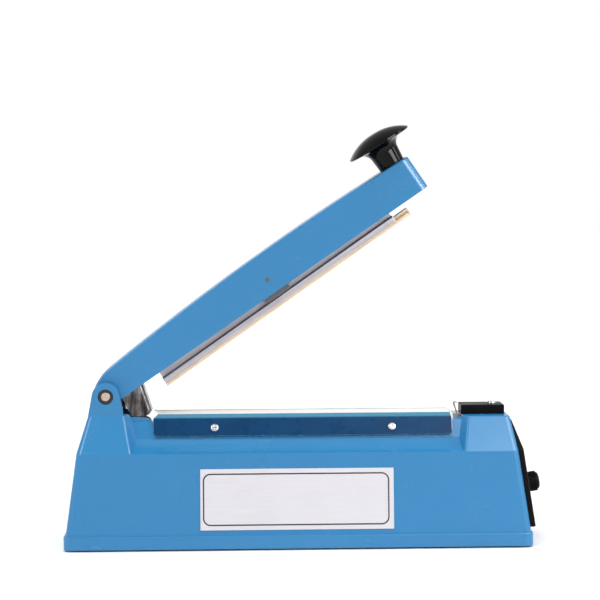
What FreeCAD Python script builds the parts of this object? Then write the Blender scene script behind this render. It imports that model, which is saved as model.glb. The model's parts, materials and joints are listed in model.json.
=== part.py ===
import FreeCAD, Part
import os
import re
import Sketcher
from FreeCAD import Placement, Rotation, Vector

# Hand impulse sealer, 200 mm class. Millimetres, +Z up, +X from the hinge end to the timer end.
# The front, with the label plate, faces -Y. The sealer stands on its feet at z = 0, jaw open.

DIMENSIONS = {
    # Whole part
    "centre_shift": -4.5,
    # Housing shell
    "housing_length": 321.4,
    "housing_width": 80.0,
    "rim_height": 1.2,
    "flange_top": 10.4,
    "flange_step": 1.4,
    "flange_corner": 6.0,
    "flange_round": 1.2,
    "wall_corner": 4.0,
    "shoulder_height": 65.6,
    "shoulder_inset": 8.0,
    "hinge_shoulder_inset": 8.8,
    "timer_shoulder_inset": 9.5,
    "shell_wall": 2.6,
    "edge_round": 1.2,
    # Raised blocks at both ends, and the ridge between them
    "hinge_block_rise": 4.9,
    "timer_block_rise": 2.8,
    "hinge_block_setback": 7.6,
    "timer_block_setback": 4.8,
    "hinge_block_length": 24.3,
    "timer_block_length": 29.1,
    "hinge_block_run": 5.0,
    "timer_block_run": 3.4,
    "hinge_block_flare": 0.58,
    "timer_block_flare": 0.42,
    "block_corner": 3.0,
    "block_inner_round": 2.0,
    "ridge_rise": 20.0,
    "ridge_half_width": 14.0,
    "ridge_lean": 22.7,
    "ridge_drop": 11.5,
    "ridge_ramp": 9.0,
    "ramp_half_width": 13.0,
    "rim_ramp": 4.9,
    "rim_ramp_height": 2.6,
    "valley_radius": 24.0,
    "mouth_half_width": 11.5,
    "mouth_reach": 17.3,
    # Hinge
    "pivot_setback": 12.1,
    "pivot_rise": 13.0,
    "open_angle": 34.5,
    "ear_radius": 9.5,
    "ear_thickness": 6.6,
    "ear_back_lean": 9.0,
    "ear_front_lean": 17.0,
    "ear_clearance": 0.4,
    "pin_radius": 3.05,
    "pin_sink": 0.5,
    "running_clearance": 0.05,
    "retainer_radius": 5.3,
    "retainer_depth": 1.8,
    "retainer_sink": 0.9,
    # Press arm, in its own frame: along the arm from the pivot, and square to it
    "arm_width": 26.0,
    "arm_wall": 2.5,
    "arm_length": 264.8,
    "arm_drop": 7.8,
    "arm_tail_radius": 9.2,
    "arm_arch_x": 160.2,
    "arm_arch_z": 20.0,
    "arm_arch_radius": 1875.0,
    "arm_nape_radius": 30.0,
    "arm_corner_round": 6.0,
    "arm_edge_round": 1.2,
    # Steel bracket under the tail of the arm
    "bracket_width": 20.0,
    "bracket_sheet": 1.5,
    "bracket_bend": 3.5,
    "bracket_top_x": 29.0,
    "bracket_top_z": 7.0,
    "bracket_foot_x": 19.2,
    "bracket_foot_z": 27.9,
    "rivet_radius": 1.8,
    "rivet_x": 14.5,
    "rivet_z": 5.0,
    "spring_tab_z": 3.4,
    # Handle knob
    "knob_setback": 11.6,
    "knob_seat_gap": 0.008,
    "knob_tilt": 3.0,
    "knob_neck_radius": 9.3,
    "knob_neck_top": 10.2,
    "knob_neck_height": 9.0,
    "knob_flare_radius": 7.0,
    "knob_rim_radius": 23.3,
    "knob_rim_height": 16.4,
    "knob_rim_thickness": 1.5,
    "knob_height": 25.4,
    "knob_dome_radius": 36.0,
    "knob_top_flat": 1.2,
    "knob_bolt_radius": 3.0,
    "knob_bolt_reach": 13.0,
    # Seal bar
    "bar_start": 38.3,
    "bar_end": 232.6,
    "bar_rest_angle": 0.5,
    "silicone_start": 37.8,
    "silicone_end": 244.2,
    "rocker_x": 137.0,
    "rocker_z": 2.2,
    "rocker_radius": 1.5,
    "rocker_half_length": 10.0,
    "bar_top": 11.5,
    "bar_depth": 4.6,
    "bar_half_width": 8.5,
    "stem_half_width": 3.0,
    "stem_top": 4.5,
    "stem_notch": 4.0,
    "silicone_drop": 2.3,
    "silicone_half_width": 6.0,
    "slot_head_half": 5.4,
    "slot_neck_half": 3.4,
    "slot_neck_depth": 1.3,
    "slot_head_depth": 1.6,
    "slot_clearance": 0.1,
    # Sealing platform
    "platform_gap_hinge": 20.8,
    "platform_gap_timer": 9.7,
    "platform_height": 4.0,
    "platform_chamfer": 3.0,
    "element_half_width": 1.5,
    "element_thickness": 0.2,
    "sheet_thickness": 0.3,
    "sheet_overhang": 0.3,
    "sheet_inset": 0.7,
    "sheet_drop": 7.6,
    "plate_overhang": 0.7,
    "plate_inset": 1.1,
    "plate_drop": 10.3,
    "plate_thickness": 1.2,
    "plate_corner": 3.0,
    "plate_end_slope": 1.4,
    "plate_lip": 0.9,
    "clamp_inset_hinge": 42.3,
    "clamp_inset_timer": 41.7,
    "clamp_screw_drop": 4.4,
    "clamp_head_radius": 2.8,
    "clamp_head_height": 1.7,
    "clamp_shank_radius": 1.4,
    # Terminals of the heating element
    "cover_overhang": 3.5,
    "cover_setback": 2.25,
    "cover_half_width": 9.5,
    "cover_height": 6.4,
    "cover_round": 1.0,
    "cover_screw_inset": 7.8,
    "cover_screw_radius": 1.7,
    "terminal_thickness": 0.6,
    "strap_gap": 0.6,
    "lug_height": 8.9,
    # Timer end
    "end_panel_thickness": 3.8,
    "end_panel_bottom": 13.2,
    "end_panel_drop": 3.2,
    "end_panel_margin": 3.2,
    "end_panel_round": 1.2,
    "timer_height": 37.8,
    "timer_knob_radius": 7.2,
    "timer_knob_height": 10.9,
    "timer_knob_gap": 0.5,
    "timer_knob_ribs": 22.0,
    "timer_shaft_radius": 3.0,
    "bushing_radius": 3.8,
    "lamp_radius": 2.5,
    "lamp_height": 56.0,
    "lamp_half_spacing": 9.0,
    "lamp_rise": 1.4,
    "pot_radius": 8.0,
    "pot_depth": 8.0,
    "board_thickness": 1.6,
    # Front label plate
    "label_length": 132.0,
    "label_height": 41.5,
    "label_thickness": 0.5,
    "label_x": -1.4,
    "label_z": 34.5,
    # Underside
    "base_plate_thickness": 1.6,
    "base_plate_inset": 3.5,
    "boss_inset_x": 11.5,
    "boss_inset_y": 10.0,
    "boss_radius": 4.5,
    "boss_bottom": 3.8,
    "boss_top": 30.0,
    "base_screw_radius": 1.5,
    "base_screw_reach": 14.0,
    "base_screw_head": 0.9,
    "foot_inset_x": 30.0,
    "foot_inset_y": 16.0,
    "foot_radius": 7.0,
    # Inside
    "core_x": -10.0,
    "core_length": 66.0,
    "core_height": 50.0,
    "core_depth": 32.0,
    "coil_depth": 50.0,
    "core_window": 34.0,
    "frame_sheet": 1.5,
    "frame_ear": 12.0,
    "stand_from_pivot": 10.0,
    "stand_half_length": 12.0,
    "stand_drop": 45.5,
    "spring_from_pivot": 11.4,
    "spring_radius": 3.4,
    "spring_wire": 0.6,
    "spring_turns": 7.0,
    "switch_y": 9.2,
    "switch_thickness": 6.4,
    "switch_length": 20.0,
    "switch_height": 10.4,
    "switch_drop": 32.5,
    "gland_inset": 50.0,
    "gland_z": 24.0,
    "gland_radius": 6.0,
    "gland_bore": 3.4,
    "gland_wall": 1.6,
    "gland_head": 2.6,
    "gland_length": 12.0,
}

# Places that follow from the dimensions
PLACES = {
    "shoulder_half_width": "housing_width / 2 - shoulder_inset",
    "shoulder_hinge_end": "housing_length / 2 - hinge_shoulder_inset",
    "shoulder_timer_end": "housing_length / 2 - timer_shoulder_inset",
    "hinge_block_outer": "shoulder_hinge_end - hinge_block_setback",
    "timer_block_outer": "shoulder_timer_end - timer_block_setback",
    "hinge_block_inner": "hinge_block_outer - hinge_block_length",
    "timer_block_inner": "timer_block_outer - timer_block_length",
    "block_half_width": "arm_width / 2 + ear_clearance + ear_thickness",
    "ridge_top": "shoulder_height + ridge_rise",
    "ridge_foot_z": "ridge_top - ridge_drop",
    "hinge_block_top": "ridge_top + hinge_block_rise",
    "timer_block_top": "ridge_top + timer_block_rise",
    "mouth_front": "hinge_block_inner - mouth_reach",
    "pivot_back": "hinge_block_outer - pivot_setback",
    "pivot_height": "hinge_block_top + pivot_rise",
    "knob_x": "arm_length - knob_setback",
    "knob_seat_z": "arm_arch_z - arm_arch_radius + sqrt(arm_arch_radius ^ 2 - (knob_x - arm_arch_x) ^ 2)"
                   " + knob_seat_gap",
    "platform_start": "hinge_block_inner - platform_gap_hinge",
    "platform_end": "timer_block_inner - platform_gap_timer",
    "platform_top": "ridge_top + platform_height",
    "sheet_start": "platform_start + sheet_overhang",
    "sheet_end": "platform_end - sheet_inset",
    "sheet_bottom": "ridge_top - sheet_drop",
    "plate_start": "platform_start + plate_overhang",
    "plate_end": "platform_end - plate_inset",
    "plate_bottom": "ridge_top - plate_drop",
    "clamp_screw_back": "plate_start - clamp_inset_hinge",
    "clamp_screw_front": "plate_end - clamp_inset_timer",
    "clamp_screw_height": "ridge_top - clamp_screw_drop",
    "cover_start": "timer_block_inner - cover_overhang",
    "cover_end": "timer_block_outer - cover_setback",
    "cover_top": "timer_block_top + cover_height",
    "cover_screw_x": "cover_end - cover_screw_inset",
    "strap_start": "platform_end + strap_gap",
    "end_panel_top": "timer_block_top - end_panel_drop",
    "boss_x": "housing_length / 2 - boss_inset_x",
    "boss_y": "housing_width / 2 - boss_inset_y",
    "foot_x": "housing_length / 2 - foot_inset_x",
    "foot_y": "housing_width / 2 - foot_inset_y",
    "stand_x": "0 - pivot_back + stand_from_pivot",
    "stand_top": "pivot_height - stand_drop",
    "spring_x": "0 - pivot_back + spring_from_pivot",
    "switch_top": "pivot_height - switch_drop",
    "gland_x": "housing_length / 2 - gland_inset",
}

doc = FreeCAD.newDocument("hand_impulse_sealer")
sheet = doc.addObject("Spreadsheet::Sheet", "dims")
sheet.Label = "driving dimensions"
for row, (alias, value) in enumerate(DIMENSIONS.items(), start=1):
    sheet.set("A%d" % row, alias.replace("_", " "))
    sheet.set("B%d" % row, repr(value))
    sheet.setAlias("B%d" % row, alias)
doc.recompute()

PARTS = []


# Expressions
def in_full(text):
    """Expression with every derived place written out in driving dimensions."""
    derived = re.compile(r"\b(%s)\b" % "|".join(PLACES))
    while derived.search(text):
        text = derived.sub(lambda match: "(%s)" % PLACES[match[0]], text)
    return text


def ref(text):
    """Point each driving dimension named in an expression at the sheet."""
    return re.sub(r"[a-z][a-z0-9_]*", lambda match: ("dims." if match[0] in DIMENSIONS else "") + match[0],
                  in_full(text))


def size(text):
    """Value of an expression, as a plain number."""
    return float(sheet.evalExpression(in_full(text)))


def bind(obj, **sizes):
    """Bind properties of an object to expressions; double underscores stand for dots."""
    for name, text in sizes.items():
        obj.setExpression(name.replace("__", "."), ref(text))


def keep(obj, name):
    """Label an object as a sub-part, to be written under that name."""
    obj.Label = name
    PARTS.append(obj)
    return obj


def place(obj, x="0", y="0", z="0", axis=None, angle="0"):
    """Bind an object's place, in the frame of the housing's middle, and its turn about an axis."""
    if axis:
        obj.Placement = Placement(Vector(), Rotation(Vector(*axis), size(angle)))
        bind(obj, Placement__Rotation__Angle=angle)
    bind(obj, Placement__Base__x=x, Placement__Base__y=y, Placement__Base__z=z)
    return obj


# PartDesign
def new_body(name):
    return keep(doc.addObject("PartDesign::Body", name), name)


def new_sketch(body, name, role="XY_Plane", offset="0"):
    """A sketch on one of the body's own origin planes, moved along its normal."""
    sketch = body.newObject("Sketcher::SketchObject", name)
    base = [feature for feature in body.Origin.OriginFeatures if feature.Role == role][0]
    sketch.AttachmentSupport = [(base, "")]
    sketch.MapMode = "FlatFace"
    sketch.AttachmentOffset = Placement(Vector(0, 0, size(offset)), Rotation())
    bind(sketch, AttachmentOffset__Base__z=offset)
    return sketch


def tilted_sketch(body, name, at, axis, angle):
    """A sketch through a point, whose plane is the XY plane turned about an axis."""
    sketch = new_sketch(body, name)
    sketch.AttachmentOffset = Placement(Vector(), Rotation(Vector(*axis), size(angle)))
    bind(sketch, AttachmentOffset__Rotation__Angle=angle, AttachmentOffset__Base__x=at[0],
         AttachmentOffset__Base__y=at[1], AttachmentOffset__Base__z=at[2])
    return sketch


def pin_point(sketch, edge, end, x, y):
    """Hold one end of an edge at bound coordinates."""
    for kind, axis, text in (("DistanceX", -2, x), ("DistanceY", -1, y)):
        if text == "0":
            sketch.addConstraint(Sketcher.Constraint("PointOnObject", edge, end, axis))
        else:
            spot = sketch.addConstraint(Sketcher.Constraint(kind, -1, 1, edge, end, size(text)))
            sketch.setExpression("Constraints[%d]" % spot, ref(text))


def arc_between(start, end, radius, turn):
    """Arc of a radius between two points: turn +1 bends left of the chord, -1 right."""
    middle = (start + end) * 0.5
    chord = end - start
    reach = (radius ** 2 - (chord.Length / 2) ** 2) ** 0.5
    side = Vector(-chord.y, chord.x, 0).normalize() * (reach * turn)
    centre = middle + side
    first, last = (start, end) if turn > 0 else (end, start)
    from_angle = Vector(1, 0, 0).getAngle(first - centre) * (1 if first.y >= centre.y else -1)
    to_angle = Vector(1, 0, 0).getAngle(last - centre) * (1 if last.y >= centre.y else -1)
    return Part.ArcOfCircle(Part.Circle(centre, Vector(0, 0, 1), radius), from_angle, to_angle)


def outline(sketch, points):
    """Closed outline through bound points. A point with a radius and a turn starts an arc."""
    corners = [Vector(size(point[0]), size(point[1]), 0) for point in points]
    ends = []
    for index, point in enumerate(points):
        start = corners[index]
        end = corners[(index + 1) % len(points)]
        if len(point) == 2:
            ends.append((sketch.addGeometry(Part.LineSegment(start, end)), 1, 2))
        else:
            radius, turn = point[2], point[3]
            edge = sketch.addGeometry(arc_between(start, end, size(radius), turn))
            ends.append((edge, 1, 2) if turn > 0 else (edge, 2, 1))
    for (edge, _, last), (after, first, _) in zip(ends, ends[1:] + ends[:1]):
        sketch.addConstraint(Sketcher.Constraint("Coincident", edge, last, after, first))
    for (edge, first, _), point in zip(ends, points):
        pin_point(sketch, edge, first, point[0], point[1])
        if len(point) > 2:
            spot = sketch.addConstraint(Sketcher.Constraint("Radius", edge, size(point[2])))
            sketch.setExpression("Constraints[%d]" % spot, ref(point[2]))
    return sketch


def rectangle(sketch, x_low, x_high, y_low, y_high):
    return outline(sketch, [(x_low, y_low), (x_high, y_low), (x_high, y_high), (x_low, y_high)])


def rounded_rectangle(sketch, x_low, x_high, y_low, y_high, radius):
    low_x, high_x = "%s + %s" % (x_low, radius), "%s - %s" % (x_high, radius)
    low_y, high_y = "%s + %s" % (y_low, radius), "%s - %s" % (y_high, radius)
    return outline(sketch, [
        (low_x, y_low), (high_x, y_low, radius, 1), (x_high, low_y), (x_high, high_y, radius, 1),
        (high_x, y_high), (low_x, y_high, radius, 1), (x_low, high_y), (x_low, low_y, radius, 1)])


def circle(sketch, x, y, radius):
    edge = sketch.addGeometry(Part.Circle(Vector(size(x), size(y), 0), Vector(0, 0, 1), size(radius)))
    pin_point(sketch, edge, 3, x, y)
    spot = sketch.addConstraint(Sketcher.Constraint("Radius", edge, size(radius)))
    sketch.setExpression("Constraints[%d]" % spot, ref(radius))
    return sketch


def extrude(body, kind, sketch, length, midplane=False, reverse=False):
    feature = body.newObject("PartDesign::" + kind, sketch.Name + "_" + kind.lower())
    feature.Profile = sketch
    feature.Midplane = midplane
    feature.Reversed = reverse
    bind(feature, Length=length)
    return feature


def pad(body, sketch, length, midplane=False, reverse=False):
    return extrude(body, "Pad", sketch, length, midplane, reverse)


def pocket(body, sketch, length, midplane=False, reverse=False):
    return extrude(body, "Pocket", sketch, length, midplane, reverse)


def loft(body, kind, lower, upper):
    feature = body.newObject("PartDesign::" + kind, lower.Name + "_loft")
    feature.Profile = lower
    feature.Sections = [upper]
    feature.Ruled = True
    return feature


def revolve(body, sketch, kind="Revolution"):
    feature = body.newObject("PartDesign::" + kind, sketch.Name + "_turned")
    feature.Profile = sketch
    feature.ReferenceAxis = (sketch, ["V_Axis"])
    feature.Angle = 360
    return feature


def round_edges(body, name, radius, wanted, kind="Fillet"):
    """Fillet or chamfer the edges of the body's last feature that a test picks."""
    doc.recompute()
    base = body.Tip
    names = ["Edge%d" % number for number, edge in enumerate(base.Shape.Edges, start=1) if wanted(edge)]
    feature = body.newObject("PartDesign::" + kind, name)
    feature.Base = (base, names)
    bind(feature, **{"Radius" if kind == "Fillet" else "Size": radius})
    return feature


def middle(edge):
    return edge.valueAt((edge.FirstParameter + edge.LastParameter) / 2)


def heading(edge):
    """Direction between an edge's two ends."""
    if len(edge.Vertexes) < 2:
        return Vector()
    return (edge.Vertexes[1].Point - edge.Vertexes[0].Point).normalize()


# Part primitives and booleans
def box(name, x, y, z):
    """Box between bound low and high values on each axis."""
    solid = doc.addObject("Part::Box", name)
    bind(solid, Length="%s - (%s)" % (x[1], x[0]), Width="%s - (%s)" % (y[1], y[0]),
         Height="%s - (%s)" % (z[1], z[0]))
    return place(solid, x[0], y[0], z[0])


AXES = {"x": ((0, 1, 0), "90"), "y": ((1, 0, 0), "-90"), "z": ((0, 0, 1), "0")}


def rod(name, radius, height, at, along="z"):
    solid = doc.addObject("Part::Cylinder", name)
    bind(solid, Radius=radius, Height=height)
    turn_axis, angle = AXES[along]
    return place(solid, at[0], at[1], at[2], turn_axis, angle)


def join(name, solids):
    result = doc.addObject("Part::MultiFuse", name)
    result.Shapes = solids
    result.Refine = True
    return result


def carve(name, base, tool):
    result = doc.addObject("Part::Cut", name)
    result.Base = base
    result.Tool = tool
    result.Refine = True
    return result


def soften(name, base, radius, wanted):
    """Part fillet of the edges that a test picks."""
    doc.recompute()
    value = size(radius)
    result = doc.addObject("Part::Fillet", name)
    result.Base = base
    result.Edges = [(number, value, value) for number, edge in enumerate(base.Shape.Edges, start=1)
                    if wanted(edge)]
    return result


def collect(name, solids):
    """Separate solids that share one sub-part."""
    result = doc.addObject("Part::Compound", name)
    result.Links = solids
    return keep(result, name)


# Where each frame lies
def in_housing(obj):
    return place(obj, "centre_shift")


def on_arm(obj):
    """The arm's frame: x along the arm from the pivot, z square to it, at the open angle."""
    return place(obj, "centre_shift - pivot_back", "0", "pivot_height", (0, -1, 0), "open_angle")


def on_bar(obj):
    """The arm's frame, turned on by the bar's own rest angle about the rocker pin."""
    turned = "(open_angle + bar_rest_angle)"
    x = "(rocker_x * (cos(open_angle) - cos(%s)) - rocker_z * (sin(open_angle) - sin(%s)))" % (turned, turned)
    z = "(rocker_x * (sin(open_angle) - sin(%s)) + rocker_z * (cos(open_angle) - cos(%s)))" % (turned, turned)
    return place(obj, "centre_shift - pivot_back + " + x, "0", "pivot_height + " + z, (0, -1, 0), turned)


HINGE_SLOPE = "((housing_length / 2 - flange_step - shoulder_hinge_end) / (shoulder_height - flange_top))"
PANEL_SLOPE = "((housing_length / 2 - flange_step - shoulder_timer_end) / (shoulder_height - flange_top))"
PANEL_LEAN = "(atan(%s) / 1 deg)" % PANEL_SLOPE
TIMER_WALL = "(housing_length / 2 - flange_step - %s * (timer_height - flange_top))" % PANEL_SLOPE
FRONT_SLOPE = ("((housing_width / 2 - flange_step - shoulder_half_width)"
               " / (shoulder_height - flange_top))")
FRONT_LEAN = "(atan(%s) / 1 deg)" % FRONT_SLOPE
UPPER_SLOPE = "((shoulder_timer_end - timer_block_outer) / (timer_block_top - shoulder_height))"


def on_timer_axis(obj, z_in_wall_frame="0"):
    """Local z points square out of the timer end's wall, from its outer face on the knob's axis."""
    return place(obj, "centre_shift + %s + (%s) * cos(%s)" % (TIMER_WALL, z_in_wall_frame, PANEL_LEAN), "0",
                 "timer_height + (%s) * sin(%s)" % (z_in_wall_frame, PANEL_LEAN),
                 (0, 1, 0), "90 - %s" % PANEL_LEAN)


SIDES = ("front", "rear")
SIGN = {"front": "-1", "rear": "1"}


# Housing: skirt, leaning walls, end blocks, ridge and hinge ears, hollow from below
def make_housing():
    body = new_body("housing")
    skirt = new_sketch(body, "skirt_outline", offset="rim_height")
    rounded_rectangle(skirt, "-housing_length / 2", "housing_length / 2", "-housing_width / 2",
                      "housing_width / 2", "flange_corner")
    pad(body, skirt, "flange_top - rim_height")

    wall_x, wall_y = "(housing_length / 2 - flange_step)", "(housing_width / 2 - flange_step)"
    foot = new_sketch(body, "wall_foot", offset="flange_top")
    rounded_rectangle(foot, "-" + wall_x, wall_x, "-" + wall_y, wall_y, "wall_corner")
    head = new_sketch(body, "wall_head", offset="shoulder_height")
    rounded_rectangle(head, "-shoulder_hinge_end", "shoulder_timer_end", "-shoulder_half_width",
                      "shoulder_half_width", "wall_corner")
    loft(body, "AdditiveLoft", foot, head)

    add_block(body, "hinge", "-1")
    add_block(body, "timer", "1")

    ridge = new_sketch(body, "ridge_section", "YZ_Plane", "-hinge_block_inner")
    outline(ridge, [
        ("-shoulder_half_width", "shoulder_height"),
        ("shoulder_half_width", "shoulder_height", "valley_radius", -1),
        (ridge_y("ridge_foot_z"), "ridge_foot_z"),
        ("ridge_half_width", "ridge_top"), ("-ridge_half_width", "ridge_top"),
        ("-" + ridge_y("ridge_foot_z"), "ridge_foot_z", "valley_radius", -1)])
    pad(body, ridge, "hinge_block_inner + timer_block_inner")
    round_edges(body, "form_round", "edge_round", on_form_edge)
    round_edges(body, "flange_edge", "flange_round", on_flange_edge)

    add_ramps(body)
    add_ears(body)
    hollow_housing(body)
    add_screw_bosses(body)
    cut_housing_holes(body)
    in_housing(body)


def ridge_y(z):
    """Half width of the ridge, and of the platform above it, at a height."""
    return "(ridge_half_width + (ridge_top - (%s)) * tan(ridge_lean))" % z


def add_block(body, end, sign):
    """Block with sloping sides, whose inner side flares towards the ridge in plan."""
    flare = end + "_block_flare"
    bend = "(block_inner_round * tan((90 deg - atan(%s)) / 2))" % flare
    slant = "sqrt(%s^2 + 1)" % flare

    def corners(outer, inner, half_width, corner):
        near_x, bend_x = "(%s - %s)" % (outer, corner), "(%s + %s)" % (inner, bend)
        past_x = "(%s - %s * %s / %s)" % (inner, flare, bend, slant)
        past_y = "(%s - %s / %s)" % (half_width, bend, slant)
        deep_x = "(%s - %s * (%s - ridge_half_width))" % (inner, flare, half_width)
        points = [
            (outer, "(%s - %s)" % (half_width, corner), corner, 1), (near_x, half_width),
            (bend_x, half_width, "block_inner_round", 1), (past_x, past_y), (deep_x, "ridge_half_width"),
            (deep_x, "-1 * ridge_half_width"), (past_x, "-1 * " + past_y, "block_inner_round", 1),
            (bend_x, "-1 * " + half_width), (near_x, "-1 * " + half_width, corner, 1),
            (outer, "-1 * (%s - %s)" % (half_width, corner))]
        return [("%s * %s" % (sign, point[0]), "%s * %s" % (sign, point[1])) + point[2:] for point in points]

    low = new_sketch(body, end + "_block_foot", offset="shoulder_height")
    outline(low, corners("shoulder_%s_end" % end, "(%s_block_inner - %s_block_run)" % (end, end),
                         "shoulder_half_width", "wall_corner"))
    high = new_sketch(body, end + "_block_head", offset=end + "_block_top")
    outline(high, corners(end + "_block_outer", end + "_block_inner", "block_half_width", "block_corner"))
    loft(body, "AdditiveLoft", low, high)


def on_form_edge(edge):
    """Rims of the two blocks' flat tops."""
    spot = middle(edge)
    top = size("hinge_block_top") if spot.x < 0 else size("timer_block_top")
    return abs(spot.z - top) < 0.01 and abs(heading(edge).z) < 0.1


def on_flange_edge(edge):
    """Upper outer rim of the skirt."""
    spot = middle(edge)
    at_side = abs(spot.y) > size("housing_width / 2 - flange_step") + 0.3
    at_end = abs(spot.x) > size("housing_length / 2 - flange_step") + 0.3
    return abs(spot.z - size("flange_top")) < 0.01 and (at_side or at_end)


def add_ramps(body):
    """Ramps from the ridge up to each block; the hinge end's one is left on both sides of the mouth."""
    timer_ramp = new_sketch(body, "timer_ramp", "XZ_Plane")
    outline(timer_ramp, [
        ("timer_block_inner - ridge_ramp", "ridge_top - 1"), ("timer_block_inner", "ridge_top - 1"),
        ("timer_block_inner", "timer_block_top - 0.3"), ("timer_block_inner - ridge_ramp", "ridge_top")])
    pad(body, timer_ramp, "2 * ramp_half_width", midplane=True)
    rim_end = "(0 - platform_start - sheet_overhang)"
    hinge_ramp = new_sketch(body, "hinge_ramp", "XZ_Plane")
    outline(hinge_ramp, [
        ("-hinge_block_inner", "ridge_top - 1"), (rim_end, "ridge_top - 1"), (rim_end, "ridge_top"),
        (rim_end + " - rim_ramp", "ridge_top + rim_ramp_height"),
        ("-hinge_block_inner", "ridge_top + rim_ramp_height + 0.6")])
    pad(body, hinge_ramp, "2 * ramp_half_width", midplane=True)
    gap = new_sketch(body, "rim_gap", offset="ridge_top")
    rectangle(gap, "-hinge_block_inner", rim_end + " + 1", "-mouth_half_width", "mouth_half_width")
    pocket(body, gap, "hinge_block_rise + 1", reverse=True)


def add_ears(body):
    pivot_x, pivot_z = "-pivot_back", "pivot_height"
    for side in SIDES:
        start = "arm_width / 2 + ear_clearance" if side == "front" else "-block_half_width"
        ear = new_sketch(body, side + "_ear", "XZ_Plane", start)
        outline(ear, [
            ("-hinge_block_outer + edge_round", "hinge_block_top - shell_wall"),
            ("-hinge_block_inner - edge_round", "hinge_block_top - shell_wall"),
            ("-hinge_block_inner", "hinge_block_top"),
            ("%s + ear_radius * cos(ear_front_lean)" % pivot_x,
             "%s + ear_radius * sin(ear_front_lean)" % pivot_z, "ear_radius", 1),
            ("%s - ear_radius * cos(ear_back_lean)" % pivot_x,
             "%s + ear_radius * sin(ear_back_lean)" % pivot_z),
            ("-hinge_block_outer", "hinge_block_top"),
        ])
        pad(body, ear, "block_half_width - arm_width / 2 - ear_clearance")


def hollow_housing(body):
    inner_head = "(shoulder_height - shell_wall)"
    spread = "(flange_top - rim_height)"
    foot_x, foot_y = "(housing_length / 2 - flange_step)", "(housing_width / 2 - flange_step)"
    low = new_sketch(body, "cavity_foot", offset="rim_height")
    rectangle(low, "-%s - %s * %s + shell_wall" % (foot_x, HINGE_SLOPE, spread),
              "%s + %s * %s - shell_wall" % (foot_x, PANEL_SLOPE, spread),
              "-%s - %s * %s + shell_wall" % (foot_y, FRONT_SLOPE, spread),
              "%s + %s * %s - shell_wall" % (foot_y, FRONT_SLOPE, spread))
    high = new_sketch(body, "cavity_head", offset=inner_head)
    rectangle(high, "-shoulder_hinge_end + shell_wall * (1 - %s)" % HINGE_SLOPE,
              "shoulder_timer_end - shell_wall * (1 - %s)" % PANEL_SLOPE,
              "-shoulder_half_width + shell_wall * (1 - %s)" % FRONT_SLOPE,
              "shoulder_half_width - shell_wall * (1 - %s)" % FRONT_SLOPE)
    loft(body, "SubtractiveLoft", low, high)

    ridge = new_sketch(body, "ridge_cavity", "YZ_Plane", "-hinge_block_inner")
    inner_top, inner_foot = "(ridge_top - shell_wall)", "(ridge_foot_z - 1.65 * shell_wall)"
    outline(ridge, [
        ("-shoulder_half_width + 1.5 * shell_wall", inner_head + " - 0.5"),
        ("shoulder_half_width - 1.5 * shell_wall", inner_head + " - 0.5"),
        (ridge_y(inner_foot) + " - 1.4 * shell_wall", inner_foot),
        (ridge_y(inner_top) + " - 1.2 * shell_wall", inner_top),
        ("-%s + 1.2 * shell_wall" % ridge_y(inner_top), inner_top),
        ("-%s + 1.4 * shell_wall" % ridge_y(inner_foot), inner_foot)])
    pocket(body, ridge, "hinge_block_inner + timer_block_inner", reverse=True)

    for end, low_x, high_x in (
            ("hinge", "-hinge_block_outer + 2 * shell_wall", "-hinge_block_inner + shell_wall / 3"),
            ("timer", "timer_block_inner - shell_wall / 3", "timer_block_outer - 2 * shell_wall")):
        hollow = new_sketch(body, end + "_block_cavity", offset=inner_head + " - 0.5")
        rectangle(hollow, low_x, high_x, "-block_half_width + 2 * shell_wall",
                  "block_half_width - 2 * shell_wall")
        pocket(body, hollow, end + "_block_top - shoulder_height + 0.5", reverse=True)

    mouth = new_sketch(body, "mouth_outline", offset="ridge_top - 2 * shell_wall")
    rectangle(mouth, "-hinge_block_outer + 2 * shell_wall", "-mouth_front", "-mouth_half_width",
              "mouth_half_width")
    pocket(body, mouth, "pivot_height - ridge_top", reverse=True)


def add_screw_bosses(body):
    """Posts in the corners that the base plate's screws bite into."""
    posts = new_sketch(body, "screw_bosses", offset="boss_bottom")
    for x in ("-boss_x", "boss_x"):
        for y in ("-boss_y", "boss_y"):
            circle(posts, x, y, "boss_radius")
    pad(body, posts, "boss_top - boss_bottom")
    pilots = new_sketch(body, "boss_pilots", offset="boss_bottom")
    for x in ("-boss_x", "boss_x"):
        for y in ("-boss_y", "boss_y"):
            circle(pilots, x, y, "base_screw_radius")
    pocket(body, pilots, "boss_top - boss_bottom - 8", reverse=True)


def cut_housing_holes(body):
    bore = new_sketch(body, "pin_bore", "XZ_Plane")
    circle(bore, "-pivot_back", "pivot_height", "pin_radius + running_clearance / 2")
    pocket(body, bore, "housing_width", midplane=True)
    for side in SIDES:
        start = "block_half_width - retainer_depth" if side == "front" else "-block_half_width"
        recess = new_sketch(body, side + "_retainer_recess", "XZ_Plane", start)
        circle(recess, "-pivot_back", "pivot_height", "retainer_radius")
        pocket(body, recess, "retainer_depth", reverse=True)

    timer = tilted_sketch(body, "bushing_hole", (TIMER_WALL, "0", "timer_height"), (0, 1, 0),
                          "90 - %s" % PANEL_LEAN)
    circle(timer, "0", "0", "bushing_radius + running_clearance")
    pocket(body, timer, "4 * shell_wall", midplane=True)

    gland = tilted_sketch(body, "gland_hole", ("gland_x", GLAND_WALL, "gland_z"), (1, 0, 0),
                          "-90 + %s" % FRONT_LEAN)
    circle(gland, "0", "0", "gland_bore + gland_wall + running_clearance")
    pocket(body, gland, "4 * shell_wall", midplane=True)


GLAND_WALL = "(housing_width / 2 - flange_step - %s * (gland_z - flange_top))" % FRONT_SLOPE

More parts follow.
